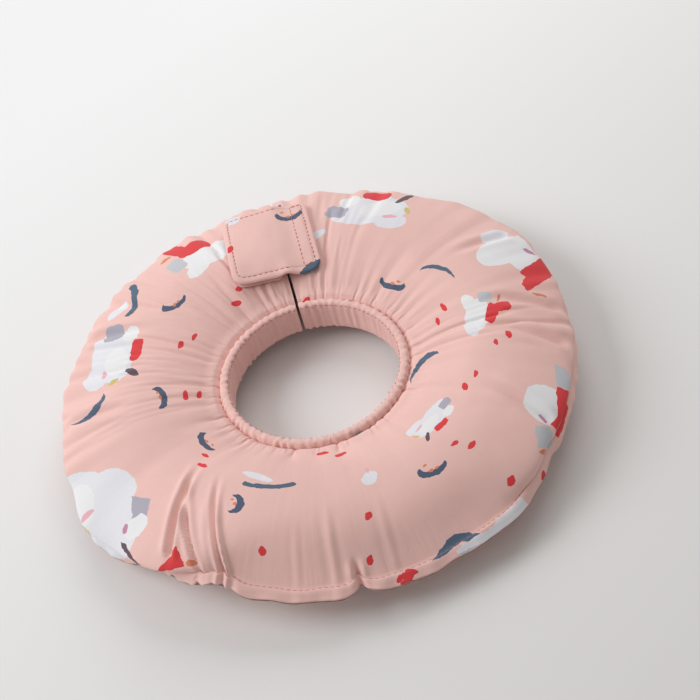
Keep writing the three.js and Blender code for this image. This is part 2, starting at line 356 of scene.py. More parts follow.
def slit_ends(g, seam_z):
    """The two ends beside the slit: squared off, with their edges drawn in by the gusset's seam."""
    q = g.copy()
    x, y = q[..., 0], q[..., 1]
    near = (y > 0) & (np.abs(x) < 0.02)
    side = np.where(np.arange(len(q))[:, None] <= SLIT_COL, 1.0, -1.0)
    dist = np.abs(x)
    draw = np.exp(-(dist / 0.0032) ** 2)
    mid = MID + rim_lift(np.degrees(np.arctan2(y, x)))
    q[..., 2] = np.where(near, mid + (q[..., 2] - mid) * (1 - 0.10 * draw), q[..., 2])
    return q


SLIT_COL = COLS // 4
THROAT_COL = 3 * COLS // 4
front = slit_ends(front, MID)
back = slit_ends(back, MID)


# the turned margin outside the topstitching: two layers of cloth, rounded over at the edge
def margin(g, side):
    """Rows outside the rim seam, from the edge's fold inward to the seam."""
    seam = g[:, 0]
    inner = g[:, 3]
    th = np.degrees(np.arctan2(seam[:, 1], seam[:, 0]))
    out = np.stack([np.cos(np.radians(th)), np.sin(np.radians(th)), np.zeros(COLS)], -1)
    lift = waves(th, 31, 20, 70, 14)
    droop = np.radians(25 + 33 * round_share(th) - 20 * bump(th, 20, 48) * round_share(th) + 6 * bump(th, -62, 14) + 16 * bump(th, -139, 9) + 7 * lift + 12 * bump(th, -91.8, 1.6))
    width = 0.0055 + 0.0003 * waves(th, 37, 12, 50, 10) - 0.0010 * bump(th, -91.8, 2.4)
    rows = []
    half = 0.00085
    up = np.array([[0.0, 0.0, 1.0]])
    for s, t in [(1.0, 0.04), (1.0, 0.55), (0.965, 0.86), (0.90, 1.0), (0.74, 1.02), (0.56, 1.0), (0.38, 0.98), (0.2, 0.9), (0.09, 0.82)]:
        d = droop * smooth(np.full(COLS, s), 0.0, 0.7)
        base = seam + out * (width * s * np.cos(d))[:, None]
        base[:, 2] -= width * s * np.sin(d)
        base += side * half * t * (out * np.sin(d)[:, None] + up * np.cos(d)[:, None])
        # small scallops where the stitches draw the margin in
        base[:, 2] += side * 0.00012 * waves(th, 41, 60, 140, 12) * s
        rows.append(base)
    return np.stack(rows, 1)


# at the neck both panels come up against the gathered band
neck = smooth(np.linspace(0, 1, ROWS), 0.90, 1.0)[None]
turned_in = smooth(np.linspace(0, 1, ROWS), 0.965, 1.0)[None]
for g, side in ((front, 1), (back, -1)):
    r = np.hypot(g[..., 0], g[..., 1])
    k = 1 - (0.00055 * neck + 0.00075 * turned_in) / r
    g[..., 0] *= k
    g[..., 1] *= k
    g[..., 2] += side * (0.0014 * neck - 0.0024 * turned_in)

# the seam itself: both panels come down to the stitches
for g, side in ((front, 1), (back, -1)):
    g[:, 0, 2] += side * 0.00062
    g[:, 1, 2] += side * 0.00025

front_all = np.concatenate([margin(front, 1), front], 1)
back_all = np.concatenate([margin(back, -1), back], 1)
EDGE_ROWS = front_all.shape[1] - ROWS


# ---------------------------------------------------------------------------- mesh makers
def flat_uv(th_deg, radius):
    return np.stack([radius * np.cos(np.radians(th_deg)), radius * np.sin(np.radians(th_deg))], -1)


def panel_uv(rows):
    """Where each point of a panel lies on the flat, printed cloth, in units of 0.3 m about its middle."""
    s = np.linspace(0, 1, ROWS) * CLOTH_W
    edge = np.array([0.0059, 0.0059, 0.0057, 0.0053, 0.0044, 0.0033, 0.0022, 0.0012, 0.0005])
    rad = np.concatenate([FLAT_OUT + edge, FLAT_OUT - s])[None]
    th = TH[:, None]
    return np.stack([rad * np.cos(np.radians(th)), rad * np.sin(np.radians(th))], -1) / 0.3 + 0.5


def shell(name, outer, inner, uv, closed=False, custom=None):
    """A closed skin of real thickness: an outer and an inner grid joined round their edges. Normals can be given for the outer points, so that two halves meet without a line."""
    n, m = outer.shape[:2]
    verts = np.concatenate([outer.reshape(-1, 3), inner.reshape(-1, 3)])
    a = np.arange(n * m).reshape(n, m)
    b = a + n * m
    i0, i1 = (a, np.roll(a, -1, 0)) if closed else (a[:-1], a[1:])
    j0, j1 = (b, np.roll(b, -1, 0)) if closed else (b[:-1], b[1:])
    faces = [np.stack([i0[:, :-1], i1[:, :-1], i1[:, 1:], i0[:, 1:]], -1).reshape(-1, 4),
             np.stack([j0[:, 1:], j1[:, 1:], j1[:, :-1], j0[:, :-1]], -1).reshape(-1, 4),
             np.stack([i0[:, 0], j0[:, 0], j1[:, 0], i1[:, 0]], -1).reshape(-1, 4),
             np.stack([i1[:, -1], j1[:, -1], j0[:, -1], i0[:, -1]], -1).reshape(-1, 4)]
    if not closed:
        faces.append(np.stack([a[0, 1:], b[0, 1:], b[0, :-1], a[0, :-1]], -1).reshape(-1, 4))
        faces.append(np.stack([a[-1, :-1], b[-1, :-1], b[-1, 1:], a[-1, 1:]], -1).reshape(-1, 4))
    faces = np.concatenate(faces)
    return make(name, verts, faces, None if uv is None else np.concatenate([uv.reshape(-1, 2)] * 2), custom)


def make(name, verts, faces, uv=None, custom=None, smooth_faces=True):
    """A mesh object whose faces point out, with a UV for each point."""
    verts, faces = np.asarray(verts, float), np.asarray(faces, int)
    if faces.shape[1] == 4:
        tri = np.vstack([faces[:, [0, 1, 2]], faces[:, [0, 2, 3]]])
    else:
        tri = faces
    if np.einsum("ij,ij->i", verts[tri[:, 0]], np.cross(verts[tri[:, 1]], verts[tri[:, 2]])).sum() < 0:
        faces = faces[:, ::-1]
    mesh = bpy.data.meshes.new(name)
    mesh.from_pydata(verts.tolist(), [], faces.tolist())
    if uv is not None:
        layer = mesh.uv_layers.new(name="cloth")
        layer.data.foreach_set("uv", uv[faces.ravel()].astype(np.float32).ravel())
    mesh.polygons.foreach_set("use_smooth", np.full(len(faces), smooth_faces))
    mesh.update()
    if custom is not None:
        mesh.normals_split_custom_set_from_vertices(custom.tolist())
    ob = bpy.data.objects.new(name, mesh)
    bpy.context.scene.collection.objects.link(ob)
    return ob


def halves(g):
    """The columns of the right half, throat to slit, and of the left half, slit to throat, both with the end columns set off from the slit."""
    right = np.concatenate([np.arange(THROAT_COL, COLS), np.arange(0, SLIT_COL + 1)])
    left = np.arange(SLIT_COL, THROAT_COL + 1)
    out = []
    for cols, sign in ((right, 1), (left, -1)):
        q = g[cols].copy()
        near = np.abs(q[..., 0]) < 0.02
        at_slit = near & (q[..., 1] > 0)
        x = sign * q[..., 0]
        q[..., 0] = np.where(at_slit, sign * (SLIT + np.maximum(x, 0) * (1 - SLIT / 0.02)), q[..., 0])
        out.append((cols, q))
    return out


CLOTH = 0.00055


def build_panel(kind, g, side):
    n = normals(g, side)
    inner = g - n * CLOTH
    uv = panel_uv(g.shape[1])
    made = []
    for name, (cols, q), (_, k) in zip(("right", "left"), halves(g), halves(inner)):
        custom = np.concatenate([n[cols].reshape(-1, 3), -n[cols].reshape(-1, 3)])
        made.append(shell(f"{kind}_{name}", q, k, uv[cols], custom=custom))
    return made


front_right, front_left = build_panel("front_panel", front_all, 1)
back_right, back_left = build_panel("back_panel", back_all, -1)


ALL_TOP = front_all[:, EDGE_ROWS:]


def solid_ring(name, outer, uv=None):
    """A bar whose section closes on itself, swept along the columns, with both ends capped."""
    n, m = outer.shape[:2]
    verts = np.concatenate([outer.reshape(-1, 3), outer[0].mean(0)[None], outer[-1].mean(0)[None]])
    a = np.arange(n * m).reshape(n, m)
    i, j = a[:-1], a[1:]
    quads = np.stack([i, np.roll(i, -1, 1), np.roll(j, -1, 1), j], -1).reshape(-1, 4)
    c0, c1 = n * m, n * m + 1
    caps = [[c0, int(a[0, (k + 1) % m]), int(a[0, k])] for k in range(m)] + [[c1, int(a[-1, k]), int(a[-1, (k + 1) % m])] for k in range(m)]
    return make_mixed(name, verts, quads, caps)


def sleeve(name, outer, inner):
    """A tube of cloth: an outer and an inner skin with open ends, joined round both ends."""
    n, m = outer.shape[:2]
    verts = np.concatenate([outer.reshape(-1, 3), inner.reshape(-1, 3)])
    a = np.arange(n * m).reshape(n, m)
    b = a + n * m
    r = lambda x: np.roll(x, -1, 1)
    faces = [np.stack([a[:-1], r(a[:-1]), r(a[1:]), a[1:]], -1).reshape(-1, 4),
             np.stack([b[1:], r(b[1:]), r(b[:-1]), b[:-1]], -1).reshape(-1, 4),
             np.stack([a[:1], b[:1], r(b[:1]), r(a[:1])], -1).reshape(-1, 4),
             np.stack([r(a[-1:]), r(b[-1:]), b[-1:], a[-1:]], -1).reshape(-1, 4)]
    return make(name, verts, np.concatenate(faces))


def make_mixed(name, verts, quads, tris, custom=None):
    """A mesh of quads and triangles whose faces point out."""
    verts = np.asarray(verts, float)
    quads = np.asarray(quads, int).reshape(-1, 4)
    tris = np.asarray(tris, int).reshape(-1, 3)
    t = np.vstack([quads[:, [0, 1, 2]], quads[:, [0, 2, 3]], tris])
    if np.einsum("ij,ij->i", verts[t[:, 0]], np.cross(verts[t[:, 1]], verts[t[:, 2]])).sum() < 0:
        quads, tris = quads[:, ::-1], tris[:, ::-1]
    mesh = bpy.data.meshes.new(name)
    mesh.from_pydata(verts.tolist(), [], quads.tolist() + tris.tolist())
    mesh.polygons.foreach_set("use_smooth", np.ones(len(mesh.polygons), bool))
    mesh.update()
    ob = bpy.data.objects.new(name, mesh)
    bpy.context.scene.collection.objects.link(ob)
    return ob


HALF_COLS = {"right": np.concatenate([np.arange(THROAT_COL, COLS), np.arange(0, SLIT_COL + 1)]),
             "left": np.arange(SLIT_COL, THROAT_COL + 1)}
SIGN = {"right": 1, "left": -1}


def half_of(g, side, gap=SLIT):
    """One half of a periodic grid of columns, its slit end set off from the slit."""
    q = g[HALF_COLS[side]].copy()
    sign = SIGN[side]
    x = sign * q[..., 0]
    q[..., 0] = np.where((np.abs(x) < 0.02) & (q[..., 1] > 0), sign * (gap + np.maximum(x, 0) * (1 - gap / 0.02)), q[..., 0])
    return q


# ---------------------------------------------------------------------------- filling
def build_filling(side):
    step_c, step_r = 6, 4
    f, b = front - normals(front, 1) * 0.0010, back - normals(back, -1) * 0.0010
    zf, zb = f[..., 2].copy(), b[..., 2].copy()
    for k in range(-7, 8):
        for r in range(-4, 5):
            i = np.clip(np.arange(ROWS) + r, 0, ROWS - 1)
            zf = np.minimum(zf, np.roll(f[..., 2], k, 0)[:, i])
            zb = np.maximum(zb, np.roll(b[..., 2], k, 0)[:, i])
    f[..., 2] = np.maximum(zf - 0.0002, MID + 0.0004)
    b[..., 2] = np.minimum(zb + 0.0002, MID - 0.0004)
    rows = np.arange(6, ROWS - 2, step_r)
    sect = np.concatenate([f[:, rows], b[:, rows[::-1]]], 1)
    q = half_of(sect, side, SLIT + 0.0016)
    keep = np.unique(np.concatenate([np.arange(0, len(q), step_c), [len(q) - 1]]))
    q = q[keep]
    return solid_ring(f"fibre_filling_{side}", q)


fillings = {side: build_filling(side) for side in SIGN}

# ---------------------------------------------------------------------------- neck band and elastic
BAND_COLS = 480
BT = np.arange(BAND_COLS) * 360.0 / BAND_COLS


def band_grid(inset):
    """The gathered casing's section, closed, at every angle; inset moves every wall inwards."""
    a = 2 * math.pi * (np.arange(28) + 0.5) / 28
    sx = np.sign(np.cos(a)) * np.abs(np.cos(a)) ** 0.62
    sz = np.sign(np.sin(a)) * np.abs(np.sin(a)) ** 0.42
    half_t, half_h = 0.0026, 0.0088
    th = BT[:, None]
    gather = waves(BT, 51, 46, 96, 16)[:, None]
    gather2 = waves(BT, 52, 46, 96, 16)[:, None]
    wide = (half_t - inset) * (1 + 0.16 * gather2)
    r = 0.0450 + wide * sx[None] + 0.00042 * gather * (0.4 + 0.6 * np.abs(sz[None]) ** 2) - 0.0003 * np.abs(sz[None]) ** 3
    tall = (half_h - inset * 1.15) * (1 + 0.028 * waves(BT, 53, 30, 80, 12)[:, None])
    z = MID + tall * sz[None]
    # the elastic draws the casing in along its middle
    r = r + 0.00035 * np.where(sx[None] > 0, -1, 1) * np.exp(-(sz[None] / 0.35) ** 2) * (1 if inset == 0 else 0.5)
    return np.stack([r * np.cos(np.radians(th)), r * np.sin(np.radians(th)), np.broadcast_to(z, r.shape)], -1)


def half_band(g, side, gap=SLIT):
    n = len(g)
    cols = {"right": np.concatenate([np.arange(3 * n // 4, n), np.arange(0, n // 4 + 1)]), "left": np.arange(n // 4, 3 * n // 4 + 1)}[side]
    q = g[cols].copy()
    sign = SIGN[side]
    x = sign * q[..., 0]
    q[..., 0] = np.where((np.abs(x) < 0.02) & (q[..., 1] > 0), sign * (gap + np.maximum(x, 0) * (1 - gap / 0.02)), q[..., 0])
    return q


bands, elastics = {}, {}
outer_band, inner_band = band_grid(0.0), band_grid(0.0006)
for side in SIGN:
    bands[side] = sleeve(f"neck_band_{side}", half_band(outer_band, side), half_band(inner_band, side))
    et = np.arange(240) * 360.0 / 240
    prof = [(-0.0006, -0.0052), (-0.00035, -0.0055), (0.00035, -0.0055), (0.0006, -0.0052), (0.0006, 0.0052), (0.00035, 0.0055), (-0.00035, 0.0055), (-0.0006, 0.0052)]
    pr = np.array(prof)
    r = 0.0449 + pr[None, :, 0] + 0.0 * et[:, None]
    g = np.stack([r * np.cos(np.radians(et))[:, None], r * np.sin(np.radians(et))[:, None], MID + np.broadcast_to(pr[None, :, 1], r.shape)], -1)
    elastics[side] = solid_ring(f"neck_elastic_{side}", half_band(g, side, SLIT + 0.0008))


# ---------------------------------------------------------------------------- gussets at the slit
def build_gusset(side):
    sign = SIGN[side]
    col = SLIT_COL
    f = front[col].copy()
    b = back[col].copy()
    steps = 9
    t = np.linspace(0, 1, steps)[None, :, None]
    f[:, 2] -= 0.0003
    b[:, 2] += 0.0003
    g = f[:, None] * (1 - t) + b[:, None] * t
    span = (f[:, 2] - b[:, 2])[:, None]
    puff = np.sin(np.pi * t[..., 0]) * np.clip(span / 0.03, 0, 1)
    g[..., 0] = sign * (SLIT + 0.00012 + 0.0002 * (1 - puff))
    inner = g.copy()
    inner[..., 0] += sign * 0.0006
    uv = np.stack([g[..., 1] / 0.3 + 0.5, g[..., 2] / 0.3 + 0.5], -1)
    return shell(f"end_gusset_{side}", g, inner, uv)


gussets = {side: build_gusset(side) for side in SIGN}


# ---------------------------------------------------------------------------- the closing flap
def surface_tree(obs):
    verts, polys, base = [], [], 0
    for o in obs:
        verts += [v.co.copy() for v in o.data.vertices]
        polys += [[base + i for i in p.vertices] for p in o.data.polygons]
        base += len(o.data.vertices)
    return BVHTree.FromPolygons(verts, polys)


GX0, GX1, GY0, GY1, GS = -0.034, 0.024, 0.054, 0.118, 0.001
gx = np.arange(GX0, GX1 + 1e-9, GS)
gy = np.arange(GY0, GY1 + 1e-9, GS)
tree = surface_tree([front_right, front_left])
H = np.zeros((len(gx), len(gy)))
for i, x in enumerate(gx):
    for j, y in enumerate(gy):
        hit = tree.ray_cast(Vector((x, y, 0.1)), Vector((0, 0, -1)))
        H[i, j] = hit[0].z if hit[0] is not None else np.nan
H = np.where(np.isnan(H), np.nanmean(H), H)


def spread(a, k, how):
    p = np.pad(a, k, mode="edge")
    win = [p[i:i + a.shape[0], j:j + a.shape[1]] for i in range(2 * k + 1) for j in range(2 * k + 1)]
    return how(np.array(win), axis=0)


over = spread(H, 2, np.max)
for _ in range(2):
    over = spread(over, 2, np.mean)
over = np.maximum(over, H + 0.00005)
over = spread(over, 1, np.mean) + 0.0002


def height(x, y):
    """The smoothed top of the ring under the flap's strips."""
    fx = np.clip((np.asarray(x) - GX0) / GS, 0, len(gx) - 1.001)
    fy = np.clip((np.asarray(y) - GY0) / GS, 0, len(gy) - 1.001)
    i, j = fx.astype(int), fy.astype(int)
    u, v = fx - i, fy - j
    return over[i, j] * (1 - u) * (1 - v) + over[i + 1, j] * u * (1 - v) + over[i, j + 1] * (1 - u) * v + over[i + 1, j + 1] * u * v


def outline(cx, cy, a, b, r, inset, corner=9, side=16):
    """Points round a rounded rectangle, the same number at every inset."""
    a, b = a - inset, b - inset
    r = max(r - inset, 0.00012)
    r = min(r, a * 0.999, b * 0.999)
    pts = []
    for qx, qy, start in ((1, 1, 0), (-1, 1, 90), (-1, -1, 180), (1, -1, 270)):
        for k in range(corner):
            t = math.radians(start + 90 * k / (corner - 1))
            pts.append((cx + qx * (a - r) + r * math.cos(t), cy + qy * (b - r) + r * math.sin(t)))
        nxt = {(1, 1): (-1, 1), (-1, 1): (-1, -1), (-1, -1): (1, -1), (1, -1): (1, 1)}[(qx, qy)]
        end = pts[-1]
        t = math.radians(start + 90)
        goal = (cx + nxt[0] * (a - r) + r * math.cos(t), cy + nxt[1] * (b - r) + r * math.sin(t))
        for k in range(1, side):
            f = k / side
            pts.append((end[0] + (goal[0] - end[0]) * f, end[1] + (goal[1] - end[1]) * f))
    return np.array(pts)


def slab(name, rect, corner, thick, base, insets, dents=(), edge=0.0011, jitter=0.0, seed=1, uv_off=(0.0, 0.0)):
    """A soft flat piece with rounded edges that follows the ring's surface. base(x, y) is its height over the surface; dents are (inset, width, depth) of stitch lines."""
    x0, x1, y0, y1 = rect
    cx, cy, a, b = (x0 + x1) / 2, (y0 + y1) / 2, (x1 - x0) / 2, (y1 - y0) / 2
    rings = [outline(cx, cy, a, b, corner, d) for d in insets]
    n = len(rings[0])
    top, low, uv = [], [], []
    for d, ring_pts in zip(insets, rings):
        x, y = ring_pts[:, 0], ring_pts[:, 1]
        k = min(1.0, 0.12 + 0.88 * math.sqrt(max(0.0, 1 - (1 - min(d / edge, 1)) ** 2)))
        h = height(x, y) + base(x, y)
        ripple = jitter * (np.sin(x * 410 + seed) * np.cos(y * 290 - seed * 2) + 0.6 * np.sin(y * 520 + x * 330 + seed))
        mid = h + thick / 2 + ripple
        dent = sum(depth * math.exp(-((d - at) / width) ** 2) for at, width, depth in dents)
        top.append(np.stack([x, y, mid + thick / 2 * k - dent], -1))
        low.append(np.stack([x, y, mid - thick / 2 * k + dent * 0.4], -1))
        uv.append(np.stack([x / 0.3 + 0.5 + uv_off[0], y / 0.3 + 0.5 + uv_off[1]], -1))
    top, low, uv = np.array(top), np.array(low), np.array(uv)
    m = len(insets)
    verts = np.concatenate([top.reshape(-1, 3), low.reshape(-1, 3)])
    A = np.arange(m * n).reshape(m, n)
    B = A + m * n
    r = lambda q: np.roll(q, -1, -1)
    quads = [np.stack([A[:-1], r(A[:-1]), r(A[1:]), A[1:]], -1).reshape(-1, 4),
             np.stack([B[1:], r(B[1:]), r(B[:-1]), B[:-1]], -1).reshape(-1, 4),
             np.stack([B[0], r(B[0]), r(A[0]), A[0]], -1).reshape(-1, 4)]
    # the last ring is closed by one face on its top and one on its underside
    faces = np.concatenate(quads).tolist()
    last = m - 1
    idx_t, idx_b = A[last].tolist(), B[last].tolist()
    faces = [tuple(f) for f in faces] + [tuple(idx_t), tuple(idx_b[::-1])]
    t = []
    for f in faces:
        for k in range(1, len(f) - 1):
            t.append((f[0], f[k], f[k + 1]))
    t = np.array(t)
    if np.einsum("ij,ij->i", verts[t[:, 0]], np.cross(verts[t[:, 1]], verts[t[:, 2]])).sum() < 0:
        faces = [f[::-1] for f in faces]
    mesh = bpy.data.meshes.new(name)
    mesh.from_pydata(verts.tolist(), [], faces)
    all_uv = np.concatenate([uv.reshape(-1, 2)] * 2)
    layer = mesh.uv_layers.new(name="cloth")
    loops = np.zeros(len(mesh.loops), np.int32)
    mesh.loops.foreach_get("vertex_index", loops)
    layer.data.foreach_set("uv", all_uv[loops].astype(np.float32).ravel())
    mesh.polygons.foreach_set("use_smooth", np.ones(len(mesh.polygons), bool))
    mesh.update()
    ob = bpy.data.objects.new(name, mesh)
    bpy.context.scene.collection.objects.link(ob)
    return ob


def fine_insets(reach, marks=(), step=0.0016):
    base = [0, 0.0002, 0.00045, 0.0008, 0.0012, 0.0018]
    for at in marks:
        base += [at - 0.0009, at - 0.00055, at - 0.0003, at, at + 0.0003, at + 0.00055, at + 0.0009]
    d = 0.0018 + step
    while d < reach:
        if all(abs(d - b) > 0.0005 for b in base):
            base.append(d)
        d += step
    base.append(reach - 0.0001)
    return sorted(b for b in set(base) if b <= reach - 0.0001 + 1e-9)


LOOP_T, HOOK_T, FLAP_T = 0.0012, 0.0010, 0.0018
LOOP_RECT = (-0.026, -0.003, 0.061, 0.111)
HOOK_RECT = (-0.025, -0.004, 0.062, 0.110)
FLAP_RECT = (-0.028, 0.018, 0.060, 0.112)
flat_base = lambda v: (lambda x, y: np.full_like(np.asarray(x, float), v))
loop_strip = slab("loop_strip_pad", LOOP_RECT, 0.002, LOOP_T, flat_base(0.0001), fine_insets(0.0115, (0.0018,)), dents=((0.0018, 0.0004, 0.0003),), edge=0.0007, jitter=0.00003, seed=3)
hook_base = 0.0001 + LOOP_T + 0.00045
hook_strip = slab("hook_strip_pad", HOOK_RECT, 0.002, HOOK_T, flat_base(hook_base), fine_insets(0.0105, (0.0018,)), dents=((0.0018, 0.0004, 0.00022),), edge=0.0006)
FLAP_OVER = hook_base + HOOK_T + 0.00025


def flap_base(x, y):
    """The flap lies on its root beside the slit, and rides up over the strips."""
    x = np.asarray(x, float)
    b = FLAP_OVER + (0.0003 - FLAP_OVER) * smooth(x, -0.0015, 0.0085)
    tip = smooth(-x, 0.0245, 0.028)
    return b - 0.0004 * tip + 0.0003 * np.sin((np.asarray(y) - 0.06) / 0.052 * 9.0) * smooth(-x, 0.012, 0.028) * 0.8


flap = slab("closing_flap", FLAP_RECT, 0.0065, FLAP_T, flap_base, fine_insets(0.023, (0.0032,), 0.0014), dents=((0.0032, 0.00042, 0.00032),), edge=0.0011, jitter=0.00008, seed=2, uv_off=(0.11, -0.62))


# ---------------------------------------------------------------------------- stitches
def stitches(name, path, up, pitch, length, radius, closed=False, rise=0.0, sides=6, seed=0):
    """Separate stitches of round thread along a path, each with its ends dipping into the cloth."""
    path = np.asarray(path, float)
    up = np.asarray(up, float)
    if closed:
        path, up = np.concatenate([path, path[:1]]), np.concatenate([up, up[:1]])
    seg = np.linalg.norm(np.diff(path, axis=0), axis=1)
    s = np.concatenate([[0], np.cumsum(seg)])
    count = max(1, int(s[-1] / pitch))
    pitch = s[-1] / count
    rnd = np.random.RandomState(seed)
    at = lambda d: np.stack([np.interp(d, s, path[:, k]) for k in range(3)], -1)
    upat = lambda d: np.stack([np.interp(d, s, up[:, k]) for k in range(3)], -1)
    verts, quads, tris = [], [], []
    stations = np.array([-0.5, -0.44, -0.28, 0.0, 0.28, 0.44, 0.5])
    high = np.array([-1.1, -0.25, 0.35, 0.6, 0.35, -0.25, -1.1])
    fat = np.array([0.45, 0.85, 1.0, 1.04, 1.0, 0.85, 0.45])
    for k in range(count):
        mid = (k + 0.5) * pitch + rnd.uniform(-0.04, 0.04) * pitch
        ln = length * rnd.uniform(0.94, 1.06)
        d = mid + stations * ln
        p = at(np.clip(d, 0, s[-1]))
        t = np.gradient(p, axis=0)
        t /= np.maximum(np.linalg.norm(t, axis=1, keepdims=True), 1e-12)
        w = upat(np.clip(d, 0, s[-1]))
        w = w - (w * t).sum(1, keepdims=True) * t
        w /= np.maximum(np.linalg.norm(w, axis=1, keepdims=True), 1e-12)
        side = np.cross(t, w)
        skew = rnd.uniform(-0.10, 0.10) * radius * 3
        p = p + w * (high * radius + rise)[:, None] + side * (stations * 2 * skew)[:, None]
        b0 = len(verts)
        for q in range(len(stations)):
            for e in range(sides):
                a = 2 * math.pi * e / sides
                verts.append(p[q] + (w[q] * math.sin(a) + side[q] * math.cos(a)) * radius * fat[q])
        for q in range(len(stations) - 1):
            for e in range(sides):
                i, j = b0 + q * sides + e, b0 + q * sides + (e + 1) % sides
                quads.append((i, j, j + sides, i + sides))
        e0, e1 = len(verts), len(verts) + 1
        verts.append(p[0] - t[0] * radius * 0.3)
        verts.append(p[-1] + t[-1] * radius * 0.3)
        last = b0 + (len(stations) - 1) * sides
        for e in range(sides):
            tris.append((e0, b0 + (e + 1) % sides, b0 + e))
            tris.append((e1, last + e, last + (e + 1) % sides))
    return make_mixed(name, np.array(verts), quads, tris)


def rim_path(g, side_sign, side):
    """Along the topstitching on one face of one half."""
    rowi = EDGE_ROWS
    n = normals(g, side_sign)
    p = g[:, rowi] + n[:, rowi] * 0.00002
    up = n[:, rowi - 2] + n[:, rowi] + np.array([0, 0, side_sign])
    cols = HALF_COLS[side]
    q, w = p[cols].copy(), up[cols]
    sign = SIGN[side]
    x = sign * q[:, 0]
    q[:, 0] = np.where((np.abs(x) < 0.02) & (q[:, 1] > 0), sign * (SLIT + np.maximum(x, 0) * (1 - SLIT / 0.02)), q[:, 0])
    return q, w


rim_threads, bobbin_threads = {}, {}
for side in SIGN:
    rim_threads[side] = stitches(f"rim_stitches_{side}", *rim_path(front_all, 1, side), pitch=0.0028, length=0.0021, radius=0.00021, seed=3)
    bobbin_threads[side] = stitches(f"rim_stitches_under_{side}", *rim_path(back_all, -1, side), pitch=0.0028, length=0.0021, radius=0.00020, seed=4)


def flat_path(rect, corner, inset, base, thick, cut=None, under=False):
    x0, x1, y0, y1 = rect
    o = outline((x0 + x1) / 2, (y0 + y1) / 2, (x1 - x0) / 2, (y1 - y0) / 2, corner, inset, corner=9, side=24)
    if cut is not None:
        o = o[cut(o)]
    z = height(o[:, 0], o[:, 1]) + base(o[:, 0], o[:, 1]) + (0 if under else thick)
    return np.column_stack([o, z]), np.tile([0, 0, -1.0 if under else 1.0], (len(o), 1))


# the flap's hem stitching, one open run round its three free sides
hem = outline((FLAP_RECT[0] + FLAP_RECT[1]) / 2, 0.086, 0.023, 0.026, 0.0065, 0.0032, corner=9, side=24)
order = np.roll(np.arange(len(hem)), -int(np.argmax(hem[:, 0] * 10 + hem[:, 1])))
hem = hem[order]
free = hem[hem[:, 0] < 0.0022]
first = int(np.argmax(np.linalg.norm(np.diff(np.vstack([free, free[:1]]), axis=0), axis=1)))
free = np.roll(free, -(first + 1), axis=0)
hz = height(free[:, 0], free[:, 1]) + flap_base(free[:, 0], free[:, 1]) + FLAP_T - 0.00030
flap_threads = stitches("flap_stitches", np.column_stack([free, hz]), np.tile([0, 0, 1.0], (len(free), 1)), 0.0028, 0.0021, 0.0002, seed=6)
rootp = outline(0.0122, 0.086, 0.0030, 0.0228, 0.0004, 0.0, corner=3, side=22)
rz = height(rootp[:, 0], rootp[:, 1]) + flap_base(rootp[:, 0], rootp[:, 1]) + FLAP_T - 0.00002
root_threads = stitches("flap_root_stitches", np.column_stack([rootp, rz]), np.tile([0, 0, 1.0], (len(rootp), 1)), 0.0028, 0.0021, 0.0002, closed=True, seed=7)
lp, lu = flat_path(LOOP_RECT, 0.002, 0.0018, flat_base(0.0001), LOOP_T - 0.00028)
loop_threads = stitches("loop_strip_stitches", lp, lu, 0.0026, 0.0019, 0.00017, closed=True, seed=8)
hp, hu = flat_path(HOOK_RECT, 0.002, 0.0018, flat_base(hook_base + 0.0001), HOOK_T, under=True)
hook_threads = stitches("hook_strip_stitches", hp, hu, 0.0026, 0.0019, 0.00014, closed=True, seed=9)


# tiny hooks standing out of the hook strip's underside
def hooks():
    verts, quads, tris = [], [], []
    rnd = np.random.RandomState(5)
    xs = np.arange(HOOK_RECT[0] + 0.0028, HOOK_RECT[1] - 0.0026, 0.00105)
    ys = np.arange(HOOK_RECT[2] + 0.0028, HOOK_RECT[3] - 0.0026, 0.00105)
    for i, x in enumerate(xs):
        for j, y in enumerate(ys):
            px, py = x + rnd.uniform(-1, 1) * 0.00006, y + (i % 2) * 0.0005 + rnd.uniform(-1, 1) * 0.00006
            if py > HOOK_RECT[3] - 0.0026:
                continue
            z = float(height(px, py)) + hook_base + 0.00006
            lean = (1 if i % 2 else -1) * 0.00012
            b0 = len(verts)
            for dz, off, w in ((0.0, 0.0, 0.00011), (-0.00026, 0.0, 0.00010), (-0.00036, lean * 0.6, 0.00012), (-0.00036, lean * 1.6, 0.00007)):
                for e in range(4):
                    a = math.pi / 4 + math.pi / 2 * e
                    verts.append((px + w * math.cos(a) * 0.8, py + off + w * math.sin(a), z + dz + (0.00006 if off == lean * 1.6 else 0)))
            for q in range(3):
                for e in range(4):
                    i0, j0 = b0 + q * 4 + e, b0 + q * 4 + (e + 1) % 4
                    quads.append((i0, j0, j0 + 4, i0 + 4))
            quads.append((b0 + 3, b0 + 2, b0 + 1, b0))
            quads.append((b0 + 12, b0 + 13, b0 + 14, b0 + 15))
    return make_mixed("hook_strip_hooks", np.array(verts), quads, [])


hook_field = hooks()

# topstitching along one row of the neck band, on each half
neck_threads = {}
for side in SIGN:
    g = half_band(outer_band, side)
    k = int(np.argmin(np.abs(np.arange(28) - 5)))
    rowp = g[:, 3]      # on the outer face, near the upper edge
    n0 = rowp.copy()
    n0[:, 2] = 0
    n0 /= np.linalg.norm(n0, axis=1, keepdims=True)
    inner_row = g[:, 10]
    ni = -n0
    a = stitches("tmp_a", inner_row, ni + np.array([0, 0, 0.3]), 0.0027, 0.0019, 0.00018, seed=10)
    neck_threads[side] = a
    a.name = f"neck_stitches_{side}"
    a.data.name = a.name

